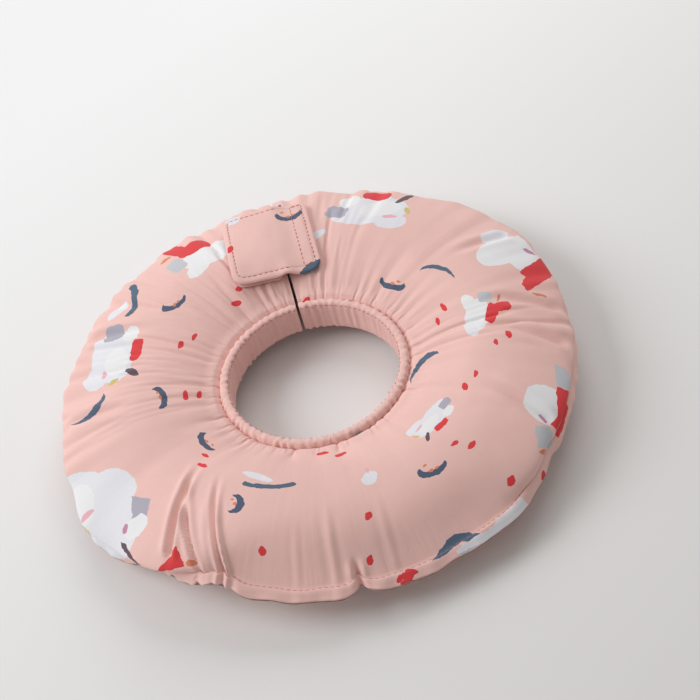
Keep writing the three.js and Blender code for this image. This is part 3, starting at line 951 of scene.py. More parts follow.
# ---------------------------------------------------------------------------- seam allowance inside the turned margin
def build_allowance(side):
    f = front_all[:, 2:EDGE_ROWS - 1]
    b = back_all[:, 2:EDGE_ROWS - 1]
    mid = (f + b) / 2
    thin = 0.00012
    up = mid.copy()
    up[..., 2] += thin
    down = mid.copy()
    down[..., 2] -= thin
    return shell(f"seam_allowance_{side}", half_of(up, side, SLIT + 0.0004), half_of(down, side, SLIT + 0.0004), None)


allowances = {side: build_allowance(side) for side in SIGN}

# ---------------------------------------------------------------------------- camera, floor and light
CAM_AT = Vector((0.019719921802946704, -0.5458663170858645, 0.6161217539974546))
CAM_RIGHT = Vector((0.962407667500757, -0.19856729253910343, -0.1853173274937952))
CAM_UP = Vector((0.271609060113525, 0.7035946620286652, 0.65664531524181))
cam_data = bpy.data.cameras.new("camera")
cam_data.lens, cam_data.sensor_width = 85.0, 36.0
cam = bpy.data.objects.new("camera", cam_data)
back_axis = CAM_RIGHT.cross(CAM_UP)
m = Matrix((CAM_RIGHT, CAM_UP, back_axis)).transposed().to_4x4()
m.translation = CAM_AT
cam.matrix_world = m
bpy.context.scene.collection.objects.link(cam)
bpy.context.scene.camera = cam


def lin(r, g, b):
    """A linear colour from one read off a screen."""
    out = []
    for v in (r, g, b):
        v = v / 255
        out.append(v / 12.92 if v <= 0.04045 else ((v + 0.055) / 1.055) ** 2.4)
    return (*out, 1)


def principled(name, rough=0.8, **sockets):
    mat = bpy.data.materials.new(name)
    mat.use_nodes = True
    p = mat.node_tree.nodes["Principled BSDF"]
    p.inputs["Roughness"].default_value = rough
    for k, v in sockets.items():
        p.inputs[k].default_value = v
    return mat, mat.node_tree, p


floor_mesh = bpy.data.meshes.new("floor")
floor_mesh.from_pydata([(-8, -8, 0), (8, -8, 0), (8, 8, 0), (-8, 8, 0)], [], [(0, 1, 2, 3)])
floor = bpy.data.objects.new("floor", floor_mesh)
floor.location.z = -0.0004
bpy.context.scene.collection.objects.link(floor)
fm, ft, fp = principled("floor", 0.75)
# The floor's colour is painted light and shade: darker towards the front right and brighter towards the back, standing
# in for the fall-off of the lamps' light.
geo = ft.nodes.new("ShaderNodeNewGeometry")
along = ft.nodes.new("ShaderNodeVectorMath")
along.operation = "DOT_PRODUCT"
along.inputs[1].default_value = (-0.55, 0.85, 0.0)
ft.links.new(geo.outputs["Position"], along.inputs[0])
grade = ft.nodes.new("ShaderNodeMapRange")
grade.inputs["From Min"].default_value, grade.inputs["From Max"].default_value = -0.24, 0.30
ft.links.new(along.outputs["Value"], grade.inputs["Value"])
painted_shade_front = ft.nodes.new("ShaderNodeMix")
painted_shade_front.data_type = "RGBA"
[i for i in painted_shade_front.inputs if i.name == "A" and i.type == "RGBA"][0].default_value = (0.74, 0.725, 0.71, 1)
[i for i in painted_shade_front.inputs if i.name == "B" and i.type == "RGBA"][0].default_value = (0.93, 0.93, 0.93, 1)
ft.links.new(grade.outputs["Result"], painted_shade_front.inputs["Factor"])
# painted shade: the floor is darker again towards the far left, where the key lamp would otherwise light it brightest
across = ft.nodes.new("ShaderNodeVectorMath")
across.operation = "DOT_PRODUCT"
across.inputs[1].default_value = (-0.89, 0.45, 0.0)
ft.links.new(geo.outputs["Position"], across.inputs[0])
painted_shade_far_left = ft.nodes.new("ShaderNodeMapRange")
for k, v in (("From Min", 0.0), ("From Max", 0.55), ("To Min", 1.0), ("To Max", 0.84)):
    painted_shade_far_left.inputs[k].default_value = v
ft.links.new(across.outputs["Value"], painted_shade_far_left.inputs["Value"])
shade = ft.nodes.new("ShaderNodeMix")
shade.data_type = "RGBA"
shade.blend_type = "MULTIPLY"
shade.inputs["Factor"].default_value = 1.0
ft.links.new([o for o in painted_shade_front.outputs if o.type == "RGBA"][0], [i for i in shade.inputs if i.name == "A" and i.type == "RGBA"][0])
level = ft.nodes.new("ShaderNodeCombineColor")
for c in ("Red", "Green", "Blue"):
    ft.links.new(painted_shade_far_left.outputs["Result"], level.inputs[c])
ft.links.new(level.outputs["Color"], [i for i in shade.inputs if i.name == "B" and i.type == "RGBA"][0])
ft.links.new([o for o in shade.outputs if o.type == "RGBA"][0], fp.inputs["Base Color"])
floor.data.materials.append(fm)

world = bpy.data.worlds.new("world")
bpy.context.scene.world = world
world.use_nodes = True
world.node_tree.nodes["Background"].inputs["Color"].default_value = (1.0, 0.972, 0.95, 1)
world.node_tree.nodes["Background"].inputs["Strength"].default_value = 0.37


def area(name, at, target, size, power, colour=(1, 1, 1)):
    d = bpy.data.lights.new(name, "AREA")
    d.shape = "RECTANGLE"
    d.size, d.size_y = size
    d.energy = power
    d.color = colour
    o = bpy.data.objects.new(name, d)
    o.location = at
    o.rotation_euler = (Vector(target) - Vector(at)).to_track_quat("-Z", "Y").to_euler()
    bpy.context.scene.collection.objects.link(o)
    return o


area("key", (-1.38, 0.24, 1.08), (0, 0, 0.02), (1.08, 1.08), 19.4, (0.965, 0.985, 1.0))
area("back", (0.40, 1.12, 0.98), (0, 0.05, 0.02), (1.2, 1.2), 9.6, (0.99, 0.995, 1.0))

bpy.context.scene.view_settings.view_transform = "Standard"


# ---------------------------------------------------------------------------- materials
def coat(mat, obs):
    for o in obs:
        o.data.materials.clear()
        o.data.materials.append(mat)


class Sheet:
    """Small helpers to lay shader nodes."""

    def __init__(self, name):
        self.mat = bpy.data.materials.new(name)
        self.mat.use_nodes = True
        self.tree = self.mat.node_tree
        self.p = self.tree.nodes["Principled BSDF"]
        self.axes = {}

    def node(self, kind, **props):
        n = self.tree.nodes.new("ShaderNode" + kind)
        for k, v in props.items():
            setattr(n, k, v)
        return n

    def put(self, value, socket):
        if isinstance(value, bpy.types.NodeSocket):
            self.tree.links.new(value, socket)
        elif value is not None:
            socket.default_value = value

    def math(self, op, a, b=None, c=None):
        n = self.node("Math", operation=op)
        self.put(a, n.inputs[0])
        self.put(b, n.inputs[1])
        self.put(c, n.inputs[2])
        return n.outputs[0]

    def vec(self, op, a, b=None, c=None, scale=None):
        n = self.node("VectorMath", operation=op)
        self.put(a, n.inputs[0])
        self.put(b, n.inputs[1])
        self.put(c, n.inputs[2])
        if scale is not None:
            self.put(scale, n.inputs["Scale"])
        return n.outputs["Value"] if op in ("LENGTH", "DOT_PRODUCT", "DISTANCE") else n.outputs["Vector"]

    def mix(self, factor, a, b, blend="MIX"):
        n = self.node("Mix", data_type="RGBA", blend_type=blend)
        self.put(factor, n.inputs["Factor"])
        self.put(a, [i for i in n.inputs if i.name == "A" and i.type == "RGBA"][0])
        self.put(b, [i for i in n.inputs if i.name == "B" and i.type == "RGBA"][0])
        return [o for o in n.outputs if o.type == "RGBA"][0]

    def noise(self, vector, scale, detail=2.0, rough=0.5, colour=False, distort=0.0):
        n = self.node("TexNoise", noise_dimensions="3D")
        self.put(vector, n.inputs["Vector"])
        n.inputs["Scale"].default_value = scale
        n.inputs["Detail"].default_value = detail
        n.inputs["Roughness"].default_value = rough
        n.inputs["Distortion"].default_value = distort
        return n.outputs["Color"] if colour else n.outputs[0]

    def ramp(self, value, lo, hi, out_lo=0.0, out_hi=1.0):
        n = self.node("MapRange")
        self.put(value, n.inputs["Value"])
        for k, v in (("From Min", lo), ("From Max", hi), ("To Min", out_lo), ("To Max", out_hi)):
            n.inputs[k].default_value = v
        return n.outputs["Result"]

    def bump(self, height, strength, distance, after=None):
        n = self.node("Bump")
        n.inputs["Strength"].default_value = strength
        n.inputs["Distance"].default_value = distance
        self.put(height, n.inputs["Height"])
        if after is not None:
            self.put(after, n.inputs["Normal"])
        return n.outputs["Normal"]

    # shapes printed on the cloth, with sizes in millimetres
    def turned(self, at, deg):
        """The same place in axes turned by deg, kept for the next shape that needs it."""
        key = (at.node.name, deg)
        if deg and key not in self.axes:
            c, n = math.cos(math.radians(deg)), math.sin(math.radians(deg))
            r = self.node("CombineXYZ")
            self.put(self.vec("DOT_PRODUCT", at, (c, n, 0.0)), r.inputs["X"])
            self.put(self.vec("DOT_PRODUCT", at, (-n, c, 0.0)), r.inputs["Y"])
            self.axes[key] = r.outputs["Vector"]
        return self.axes[key] if deg else at

    def oval(self, at, x, y, rx, ry, deg=0.0, square=False):
        """An oval, or a block with rounded corners, turned to the nearest of twelve directions."""
        deg = round(deg / 15.0) % 12 * 15.0
        c, n = math.cos(math.radians(deg)), math.sin(math.radians(deg))
        u, v = x * c + y * n, y * c - x * n
        q = self.vec("MULTIPLY_ADD", self.turned(at, deg), (1 / rx, 1 / ry, 0.0), (-u / rx, -v / ry, 0.0))
        if square:
            q = self.vec("MULTIPLY", q, q)
        return self.math("LESS_THAN", self.vec("LENGTH", q), 1.0)

    def patch(self, at, points):
        """A convex shape with straight sides."""
        pts = [Vector(q) for q in points]
        turn = sum(a.x * b.y - a.y * b.x for a, b in zip(pts, pts[1:] + pts[:1]))
        if turn < 0:
            pts.reverse()
        mask = None
        for i, a in enumerate(pts):
            b = pts[(i + 1) % len(pts)]
            d = (b - a).normalized()
            nx, ny = d.y, -d.x
            inside = self.math("LESS_THAN", self.vec("DOT_PRODUCT", at, (nx, ny, 0.0)), nx * a.x + ny * a.y)
            mask = inside if mask is None else self.math("MULTIPLY", mask, inside)
        return mask

    def flat_position(self):
        """Where the cloth lay when it was printed, in millimetres from its middle."""
        uv = self.node("UVMap", uv_map="cloth").outputs["UV"]
        return self.vec("MULTIPLY_ADD", uv, (300.0, 300.0, 0.0), (-150.0, -150.0, 0.0))


RED = (0.74, 0.055, 0.062, 1)
SLATE = (0.097, 0.148, 0.214, 1)
NAVY = (0.085, 0.115, 0.18, 1)
LILAC = (0.80, 0.79, 0.83, 1)
GREY = (0.44, 0.42, 0.49, 1)
BLUEGREY = (0.56, 0.57, 0.60, 1)
PLUM = (0.13, 0.095, 0.115, 1)
WHITE = (0.85, 0.84, 0.85, 1)
OCHRE = (0.66, 0.55, 0.20, 1)
ORANGE = (0.72, 0.24, 0.13, 1)
MAUVE = (0.58, 0.26, 0.40, 1)
ROSE = (0.85, 0.46, 0.52, 1)
PINK = (0.865, 0.55, 0.50, 1)

# the print: abstract shapes, each with its colour, its place and its size in millimetres on the flat cloth
FITTED = [
    ("LILAC", "oval", (-115.5, -50.0, 30.0, 18.5, -67)),
    ("LILAC", "oval", (-104.5, -66.0, 10.0, 7.5, -30)),
    ("LILAC", "oval", (-103.0, -40.0, 13.0, 9.0, -50)),
    ("WHITE", "oval", (-118.0, -40.0, 11.0, 7.0, -75)),
    ("GREY", "patch", [(-95.2, -49.0), (-86.8, -56.0), (-90.5, -65.3), (-96.4, -60.7)]),
    ("WHITE", "oval", (-94.8, -65.4, 5.5, 5.0, 0)),
    ("MAUVE", "oval", (-99.6, -63.4, 2.0, 1.3, -103.0)),
    ("PLUM", "patch", [(-102.3, -67.7), (-100.0, -70.0), (-98.2, -75.4), (-101.3, -73.5)]),
    ("PLUM", "patch", [(-101.3, -73.5), (-98.2, -75.4), (-95.2, -84.6), (-98.4, -80.2)]),
    ("ROSE", "oval", (-114.6, -46.0, 4.0, 1.5, 18)),
    ("OCHRE", "oval", (-117.4, -52.0, 3.4, 1.4, -55)),
    ("RED", "patch", [(-77.9, -86.3), (-78.2, -97.6), (-90.6, -91.6)]),
    ("ORANGE", "oval", (-75.7, -98.6, 2.8, 1.5, -69.0)),
    ("RED", "oval", (-44.4, -107.8, 1.75, 2.8, -12)),
    ("RED", "oval", (7.4, -101.2, 1.75, 2.8, -12)),
    ("RED", "oval", (3.2, -125.6, 1.75, 2.8, -12)),
    ("RED", "oval", (75.2, -99.0, 1.75, 2.8, -12)),
    ("RED", "oval", (96.0, -99.5, 1.5, 2.3, -30)),
    ("ROSE", "oval", (109.6, -16.0, 1.1, 1.4, 0)),
    ("RED", "oval", (14.9, -136.0, 2.5, 1.2, 36.0)),
    ("RED", "oval", (18.6, -135.6, 3.4, 1.9, -4.0)),
    ("RED", "oval", (21.1, -133.9, 3.3, 1.3, -19.0)),
    ("RED", "oval", (17.8, -138.0, 3.5, 1.1, 6.0)),
    ("SLATE", "patch", [(31.6, -130.9), (36.9, -126.7), (37.8, -129.9)]),
    ("SLATE", "patch", [(36.9, -126.7), (42.9, -123.2), (42.6, -127.8), (37.8, -129.9)]),
    ("SLATE", "patch", [(42.9, -123.2), (47.2, -121.6), (46.7, -126.0), (42.6, -127.8)]),
    ("SLATE", "patch", [(47.2, -121.6), (52.6, -121.4), (52.4, -124.9), (46.7, -126.0)]),
    ("SLATE", "patch", [(52.6, -121.4), (57.5, -123.2), (52.4, -124.9)]),
    ("LILAC", "patch", [(42.9, -128.7), (51.0, -125.4), (60.3, -121.0), (64.0, -124.4), (46.4, -131.6)]),
    ("LILAC", "patch", [(57.5, -122.3), (70.0, -114.8), (80.0, -107.5), (83.0, -112.0), (73.0, -119.0), (61.0, -126.0)]),
    ("WHITE", "patch", [(62.0, -122.0), (70.5, -116.0), (80.5, -109.0), (74.0, -115.6)]),
    ("BLUEGREY", "patch", [(44.5, -130.4), (50.0, -128.8), (55.0, -127.6), (47.0, -131.4)]),
    ("NAVY", "crescent", (40.9, -84.6, 7.2, 5.0, 0.0)),
    ("ORANGE", "oval", (40.5, -85.5, 1.3, 1.0, 0)),
    ("ORANGE", "oval", (38.0, -81.1, 1.0, 0.8, 0)),
    ("ORANGE", "oval", (43.3, -85.1, 0.9, 0.8, 0)),
    ("BLUEGREY", "patch", [(111.0, -41.5), (116.6, -45.8), (119.1, -58.8), (107.7, -54.5)]),
    ("WHITE", "oval", (99.6, -63.7, 9.0, 11.0, 0)),
    ("RED", "patch", [(107.6, -54.4), (118.6, -58.8), (119.9, -65.9), (103.3, -70.4), (105.2, -61.7)]),
    ("RED", "patch", [(119.9, -65.9), (114.4, -75.9), (109.0, -82.6), (99.1, -74.0), (103.3, -70.4)]),
    ("MAUVE", "oval", (96.7, -70.7, 2.8, 1.2, -74.0)),
    ("BLUEGREY", "patch", [(91.7, -74.6), (98.1, -75.6), (105.5, -85.1), (104.0, -87.7), (90.4, -84.7)]),
    ("ORANGE", "oval", (94.2, -87.6, 4.2, 1.3, -17.0)),
    ("WHITE", "oval", (105.0, 37.0, 13.5, 9.5, 30)),
    ("WHITE", "oval", (115.0, 27.4, 10.0, 7.0, -60)),
    ("LILAC", "oval", (103.5, 50.0, 6.0, 4.5, 0)),
    ("WHITE", "patch", [(113.5, 49.0), (119.0, 38.5), (123.8, 29.0), (111.4, 20.7), (106.0, 31.4)]),
    ("RED", "patch", [(124.2, 31.2), (128.6, 20.2), (116.0, 9.6), (110.4, 20.4)]),
    ("RED", "patch", [(113.1, 19.1), (116.9, 10.4), (110.4, 6.2), (109.3, 11.5)]),
    ("MAUVE", "oval", (117.6, 35.0, 3.6, 1.3, -38)),
    ("ORANGE", "oval", (115.1, 2.7, 3.4, 0.9, -32.0)),
]
LARGER = [
    ("LILAC", "oval", (48.8, 91.8, 21.2, 12.9, 162)),
    ("LILAC", "oval", (57.1, 78.6, 9.2, 7.4, 150)),
    ("WHITE", "oval", (55.0, 91.5, 11.0, 7.4, 170)),
    ("GREY", "block", (32.7, 97.9, 6.0, 5.5, 150)),
    ("WHITE", "oval", (41.0, 105.9, 6.0, 5.1, 150)),
    ("ROSE", "oval", (58.1, 82.2, 3.9, 1.4, 165)),
    ("RED", "block", (55.4, 105.0, 7.4, 3.9, 145)),
    ("OCHRE", "oval", (68.2, 84.9, 3.5, 1.3, 90)),
    ("PLUM", "oval", (68.9, 97.2, 6.0, 2.0, 215)),
    ("WHITE", "oval", (-37.5, 92.7, 15.2, 10.4, -165)),
    ("WHITE", "oval", (-43.7, 82.6, 8.5, 5.7, -120)),
    ("LILAC", "oval", (-24.7, 93.5, 7.6, 4.8, -105)),
    ("RED", "block", (-45.3, 102.5, 9.0, 4.8, -158)),
    ("RED", "block", (-55.3, 106.5, 4.4, 6.2, -135)),
    ("BLUEGREY", "block", (-55.2, 91.2, 4.6, 5.7, -150)),
    ("ORANGE", "oval", (-60.5, 100.3, 3.4, 1.0, -170)),
    ("LILAC", "oval", (-94.8, 40.2, 19.6, 11.9, 87)),
    ("LILAC", "oval", (-104.7, 29.7, 8.5, 6.8, 75)),
    ("WHITE", "oval", (-93.7, 34.7, 10.2, 6.8, 95)),
    ("GREY", "block", (-93.2, 56.1, 5.5, 5.1, 75)),
    ("WHITE", "oval", (-84.1, 50.6, 5.5, 4.7, 75)),
    ("ROSE", "oval", (-101.2, 29.6, 3.6, 1.3, 90)),
    ("RED", "block", (-81.5, 37.5, 6.8, 3.6, 70)),
    ("OCHRE", "oval", (-96.4, 21.3, 3.2, 1.2, 15)),
    ("PLUM", "oval", (-85.2, 23.6, 5.5, 1.9, 140)),
    ("WHITE", "oval", (80.0, -2.8, 10.9, 7.5, 60)),
    ("WHITE", "oval", (77.9, 5.5, 6.1, 4.1, 105)),
    ("LILAC", "oval", (73.9, -9.6, 5.4, 3.4, 120)),
    ("RED", "block", (88.8, -3.8, 6.5, 3.4, 67)),
    ("RED", "block", (96.0, -0.8, 3.1, 4.4, 90)),
    ("BLUEGREY", "block", (88.2, 7.0, 3.3, 4.1, 75)),
    ("ORANGE", "oval", (95.4, 5.0, 2.4, 0.7, 55)),
    ("SLATE", "oval", (8.2, 77.6, 13.5, 4.1, 57)),
    ("PINK", "oval", (11.3, 76.4, 12.2, 3.8, 55)),
    ("LILAC", "oval", (16.7, 79.2, 8.1, 2.9, 33)),
    ("WHITE", "oval", (13.9, 76.9, 3.1, 1.4, 33)),
    ("NAVY", "crescent", (-58.4, 60.4, 7.2, 5.0, 10)),
    ("ORANGE", "oval", (-58.6, 59.6, 1.3, 1.0, 10)),
    ("ORANGE", "oval", (-55.7, 60.5, 0.9, 0.8, 10)),
    ("SLATE", "oval", (-81.9, 76.4, 12.8, 3.9, -108)),
    ("PINK", "oval", (-85.1, 76.7, 11.5, 3.6, -110)),
    ("LILAC", "oval", (-89.4, 72.8, 7.6, 2.7, -132)),
    ("WHITE", "oval", (-87.3, 75.6, 2.9, 1.4, -132)),
    ("NAVY", "crescent", (8.0, 113.7, 7.2, 5.0, -30)),
    ("ORANGE", "oval", (7.2, 113.2, 1.3, 1.0, -30)),
    ("ORANGE", "oval", (10.0, 112.1, 0.9, 0.8, -30)),
    ("SLATE", "oval", (-30.4, -65.3, 12.0, 3.7, 162)),
    ("PINK", "oval", (-30.1, -62.3, 10.8, 3.4, 160)),
    ("LILAC", "oval", (-33.8, -58.2, 7.2, 2.6, 138)),
    ("WHITE", "oval", (-31.2, -60.2, 2.7, 1.3, 138)),
    ("LILAC", "oval", (43.7, -52.1, 11.5, 7.0, 42)),
    ("LILAC", "oval", (35.2, -52.4, 5.0, 4.0, 30)),
    ("WHITE", "oval", (41.9, -54.9, 6.0, 4.0, 50)),
    ("GREY", "block", (51.0, -46.2, 3.2, 3.0, 30)),
    ("WHITE", "oval", (52.5, -52.2, 3.2, 2.8, 30)),
    ("ROSE", "oval", (36.6, -53.9, 2.1, 0.8, 45)),
    ("RED", "block", (48.1, -58.8, 4.0, 2.1, 25)),
    ("OCHRE", "oval", (35.2, -59.3, 1.9, 0.7, -30)),
    ("PLUM", "oval", (40.8, -63.0, 3.2, 1.1, 95)),
    ("NAVY", "crescent", (-70.0, 2.4, 6.8, 4.8, 105)),
    ("ORANGE", "oval", (-69.1, 2.3, 1.2, 0.9, 105)),
    ("ORANGE", "oval", (-70.2, 4.9, 0.9, 0.8, 105)),
]
# places kept clear of the small shapes: x, y and radius
CLEAR = [
    (48.8, 91.8, 28.5),
    (-37.5, 92.7, 27.5),
    (-94.8, 40.2, 26.3),
    (80.0, -2.8, 19.7),
    (8.2, 77.6, 18.9),
    (-58.4, 60.4, 14.0),
    (-81.9, 76.4, 17.8),
    (8.0, 113.7, 14.0),
    (-30.4, -65.3, 16.8),
    (43.7, -52.1, 15.5),
    (-70.0, 2.4, 13.3),
    (-108, -52, 42),
    (-62, -104, 26),
    (-18, -115, 27),
    (22, -120, 28),
    (66, -112, 28),
    (38, -85, 18),
    (102, -78, 34),
    (114, 38, 30),
    (112, -8, 16),
]


def cloth_surface(s, at, base_colour):
    """Cotton: a fine plain weave, faint creases, slight changes of tone, and a soft sheen."""
    rho = s.vec("LENGTH", at)
    unit = s.vec("NORMALIZE", at)
    around = s.vec("SCALE", unit, scale=133.0)
    lift = s.node("CombineXYZ")
    s.put(s.math("MULTIPLY", rho, 0.10), lift.inputs["Z"])
    radial = s.vec("ADD", around, lift.outputs["Vector"])
    creases = s.noise(radial, 0.16, 3.0, 0.55)
    puckers = s.noise(radial, 0.62, 1.5, 0.5)
    near_seam = s.math("MULTIPLY", s.ramp(rho, 112.0, 131.0), s.ramp(rho, 133.2, 134.6, 1.0, 0.55))
    near_neck = s.ramp(rho, 60.0, 36.0)
    edge = s.math("MAXIMUM", near_seam, near_neck)
    soft = s.noise(at, 0.055, 2.0, 0.5)
    split = s.node("SeparateXYZ")
    s.put(at, split.inputs["Vector"])
    weave = s.math("MULTIPLY", s.math("SINE", s.math("MULTIPLY", split.outputs["X"], 2 * math.pi / 0.52)),
                   s.math("SINE", s.math("MULTIPLY", split.outputs["Y"], 2 * math.pi / 0.52)))
    slub = s.noise(s.vec("MULTIPLY", at, (0.35, 4.0, 1.0)), 0.9, 2.0, 0.6)
    n1 = s.bump(creases, 0.13, 0.0014)
    n2 = s.bump(s.math("MULTIPLY", puckers, edge), 0.16, 0.0008, n1)
    n3 = s.bump(soft, 0.14, 0.0022, n2)
    n4 = s.bump(s.math("ADD", s.math("MULTIPLY", weave, 0.5), s.math("MULTIPLY", slub, 0.7)), 0.22, 0.00011, n3)
    s.put(n4, s.p.inputs["Normal"])
    tone = s.ramp(s.noise(at, 0.021, 3.0, 0.55), 0.3, 0.7, 0.955, 1.03)
    fine = s.ramp(weave, -1.0, 1.0, 0.965, 1.02)
    streak = s.ramp(slub, 0.25, 0.75, 0.975, 1.015)
    k = s.math("MULTIPLY", s.math("MULTIPLY", tone, fine), streak)
    grey = s.node("CombineColor")
    for c in ("Red", "Green", "Blue"):
        s.put(k, grey.inputs[c])
    s.put(s.mix(1.0, base_colour, grey.outputs["Color"], "MULTIPLY"), s.p.inputs["Base Color"])
    s.put(s.ramp(slub, 0.2, 0.8, 0.74, 0.9), s.p.inputs["Roughness"])
    s.p.inputs["Sheen Weight"].default_value = 0.17
    s.p.inputs["Sheen Roughness"].default_value = 0.45
    s.p.inputs["Specular IOR Level"].default_value = 0.25


def printed(name, turned):
    """Printed cotton: larger shapes at set places, with small ones scattered between them. The back panel is cut from the same cloth, turned round."""
    s = Sheet(name)
    at = s.flat_position()
    shake = s.vec("SUBTRACT", s.noise(at, 0.30, 2.5, 0.55, colour=True), (0.5, 0.5, 0.5))
    inked = s.vec("MULTIPLY_ADD", shake, (2.1, 2.1, 0.0), at)
    if turned:
        c, n = math.cos(math.radians(turned)), math.sin(math.radians(turned))
        r = s.node("CombineXYZ")
        s.put(s.vec("DOT_PRODUCT", inked, (-c, n, 0.0)), r.inputs["X"])
        s.put(s.vec("DOT_PRODUCT", inked, (n, c, 0.0)), r.inputs["Y"])
        inked = r.outputs["Vector"]
    colour = PINK
    for ink, kind, data in LARGER if turned else FITTED + LARGER:
        if kind == "crescent":
            x, y, rx, ry, deg = data
            c, n = math.cos(math.radians(deg)), math.sin(math.radians(deg))
            mask = s.math("MULTIPLY", s.oval(inked, x, y, rx, ry, deg),
                          s.math("SUBTRACT", 1.0, s.oval(inked, x + (0.4 * c - 3.6 * n) * rx / 7.2, y + (0.4 * n + 3.6 * c) * rx / 7.2, rx * 0.86, ry * 0.92, deg)))
        else:
            mask = s.patch(inked, data) if kind == "patch" else s.oval(inked, *data, square=kind == "block")
        colour = s.mix(mask, colour, INKS[ink])
    # small shapes, one in each cell of a loose lattice, where no larger one is near
    cell = 30.0
    v = s.node("TexVoronoi", voronoi_dimensions="2D", feature="F1")
    v.inputs["Scale"].default_value = 1 / cell
    v.inputs["Randomness"].default_value = 0.6
    s.put(inked, v.inputs["Vector"])
    middle = s.vec("ADD", v.outputs["Position"], (0.0, 0.0, 0.0))
    local = s.vec("SUBTRACT", inked, middle)
    pick = s.node("SeparateColor")
    s.put(v.outputs["Color"], pick.inputs["Color"])
    turn = s.node("VectorRotate", rotation_type="Z_AXIS")
    s.put(local, turn.inputs["Vector"])
    s.put(s.math("MULTIPLY", pick.outputs["Green"], 6.283), turn.inputs["Angle"])
    here = s.vec("ADD", turn.outputs["Vector"], (0.0, 0.0, 0.0))
    allowed = s.math("LESS_THAN", s.vec("LENGTH", middle), 119.0)
    for x, y, clear in CLEAR:
        allowed = s.math("MULTIPLY", allowed, s.math("GREATER_THAN", s.vec("DISTANCE", middle, (x, y, 0.0)), clear))
    crescent = s.math("MULTIPLY", s.oval(here, 0, 0, 6.6, 4.6), s.math("SUBTRACT", 1.0, s.oval(here, 0.4, 3.2, 5.8, 4.2)))
    leaf = s.math("MULTIPLY", s.oval(here, 0, -5.5, 10.5, 8.0, 6), s.math("SUBTRACT", 1.0, s.oval(here, 1.0, -9.0, 12.5, 8.4, 4)))
    lens = s.math("MULTIPLY", s.oval(here, 0, 3.0, 7.5, 4.9), s.oval(here, 0, -3.0, 7.5, 4.9))
    kinds = [
        (0.00, 0.42, [("RED", s.oval(here, 0, 0, 1.7, 2.7, 10)), ("RED", s.oval(here, 7.5, 4.5, 1.4, 2.2, -20))]),
        (0.42, 0.60, [("SLATE", leaf)]),
        (0.60, 0.68, [("NAVY", crescent), ("ORANGE", s.oval(here, 0, -0.2, 1.2, 0.9)), ("ORANGE", s.oval(here, 3.0, 1.6, 0.9, 0.7))]),
        (0.68, 0.80, [("LILAC", s.oval(here, -1, 0, 5.2, 4.0, 15)), ("ROSE", s.oval(here, 4.5, 3.2, 2.2, 0.9, 30))]),
        (0.80, 0.92, [("PLUM", lens), ("OCHRE", s.oval(here, 3.5, 5.6, 2.8, 1.0, -25))]),
    ]
    for lo, hi, shapes in kinds:
        gate = s.math("MULTIPLY", s.math("GREATER_THAN", pick.outputs["Red"], lo), s.math("LESS_THAN", pick.outputs["Red"], hi))
        gate = s.math("MULTIPLY", gate, allowed)
        for ink, mask in shapes:
            colour = s.mix(s.math("MULTIPLY", mask, gate), colour, INKS[ink])
    cloth_surface(s, at, colour)
    return s.mat


INKS = {"RED": RED, "SLATE": SLATE, "NAVY": NAVY, "LILAC": LILAC, "GREY": GREY, "BLUEGREY": BLUEGREY, "PLUM": PLUM,
                  "WHITE": WHITE, "OCHRE": OCHRE, "ORANGE": ORANGE, "MAUVE": MAUVE, "ROSE": ROSE, "PINK": PINK}

printed_front = printed("printed_cotton", 0.0)
printed_back = printed("printed_cotton_back", 118.0)
coat(printed_front, [front_right, front_left, flap])
coat(printed_back, [back_right, back_left])


def small_piece(name, colour, rough, bumps, sheen=0.0, tone=(0.94, 1.04, 900.0), spec=0.3):
    """A procedural finish in the row frame: bumps are (pattern, scale per metre, strength, depth)."""
    s = Sheet(name)
    at = s.node("TexCoord").outputs["Object"]
    normal = None
    for pattern, scale, strength, depth in bumps:
        if pattern == "noise":
            h = s.noise(at, scale, 3.0, 0.6)
        elif pattern == "cells":
            v = s.node("TexVoronoi", voronoi_dimensions="3D", feature="F1")
            v.inputs["Scale"].default_value = scale
            s.put(at, v.inputs["Vector"])
            h = s.math("SUBTRACT", 1.0, v.outputs["Distance"])
        elif pattern == "ribs":
            split = s.node("SeparateXYZ")
            s.put(at, split.inputs["Vector"])
            h = s.math("SINE", s.math("MULTIPLY", split.outputs["Z"], scale * 2 * math.pi))
        else:
            split = s.node("SeparateXYZ")
            s.put(at, split.inputs["Vector"])
            h = s.math("MULTIPLY", s.math("SINE", s.math("MULTIPLY", split.outputs["X"], scale * 2 * math.pi)),
                       s.math("SINE", s.math("MULTIPLY", split.outputs["Y"], scale * 2 * math.pi)))
        normal = s.bump(h, strength, depth, normal)
    if normal is not None:
        s.put(normal, s.p.inputs["Normal"])
    k = s.ramp(s.noise(at, tone[2], 3.0, 0.6), 0.3, 0.7, tone[0], tone[1])
    grey = s.node("CombineColor")
    for c in ("Red", "Green", "Blue"):
        s.put(k, grey.inputs[c])
    s.put(s.mix(1.0, colour, grey.outputs["Color"], "MULTIPLY"), s.p.inputs["Base Color"])
    s.put(s.ramp(s.noise(at, tone[2] * 0.7, 2.0, 0.5), 0.3, 0.7, rough - 0.05, rough + 0.05), s.p.inputs["Roughness"])
    s.p.inputs["Sheen Weight"].default_value = sheen
    s.p.inputs["Specular IOR Level"].default_value = spec
    return s.mat


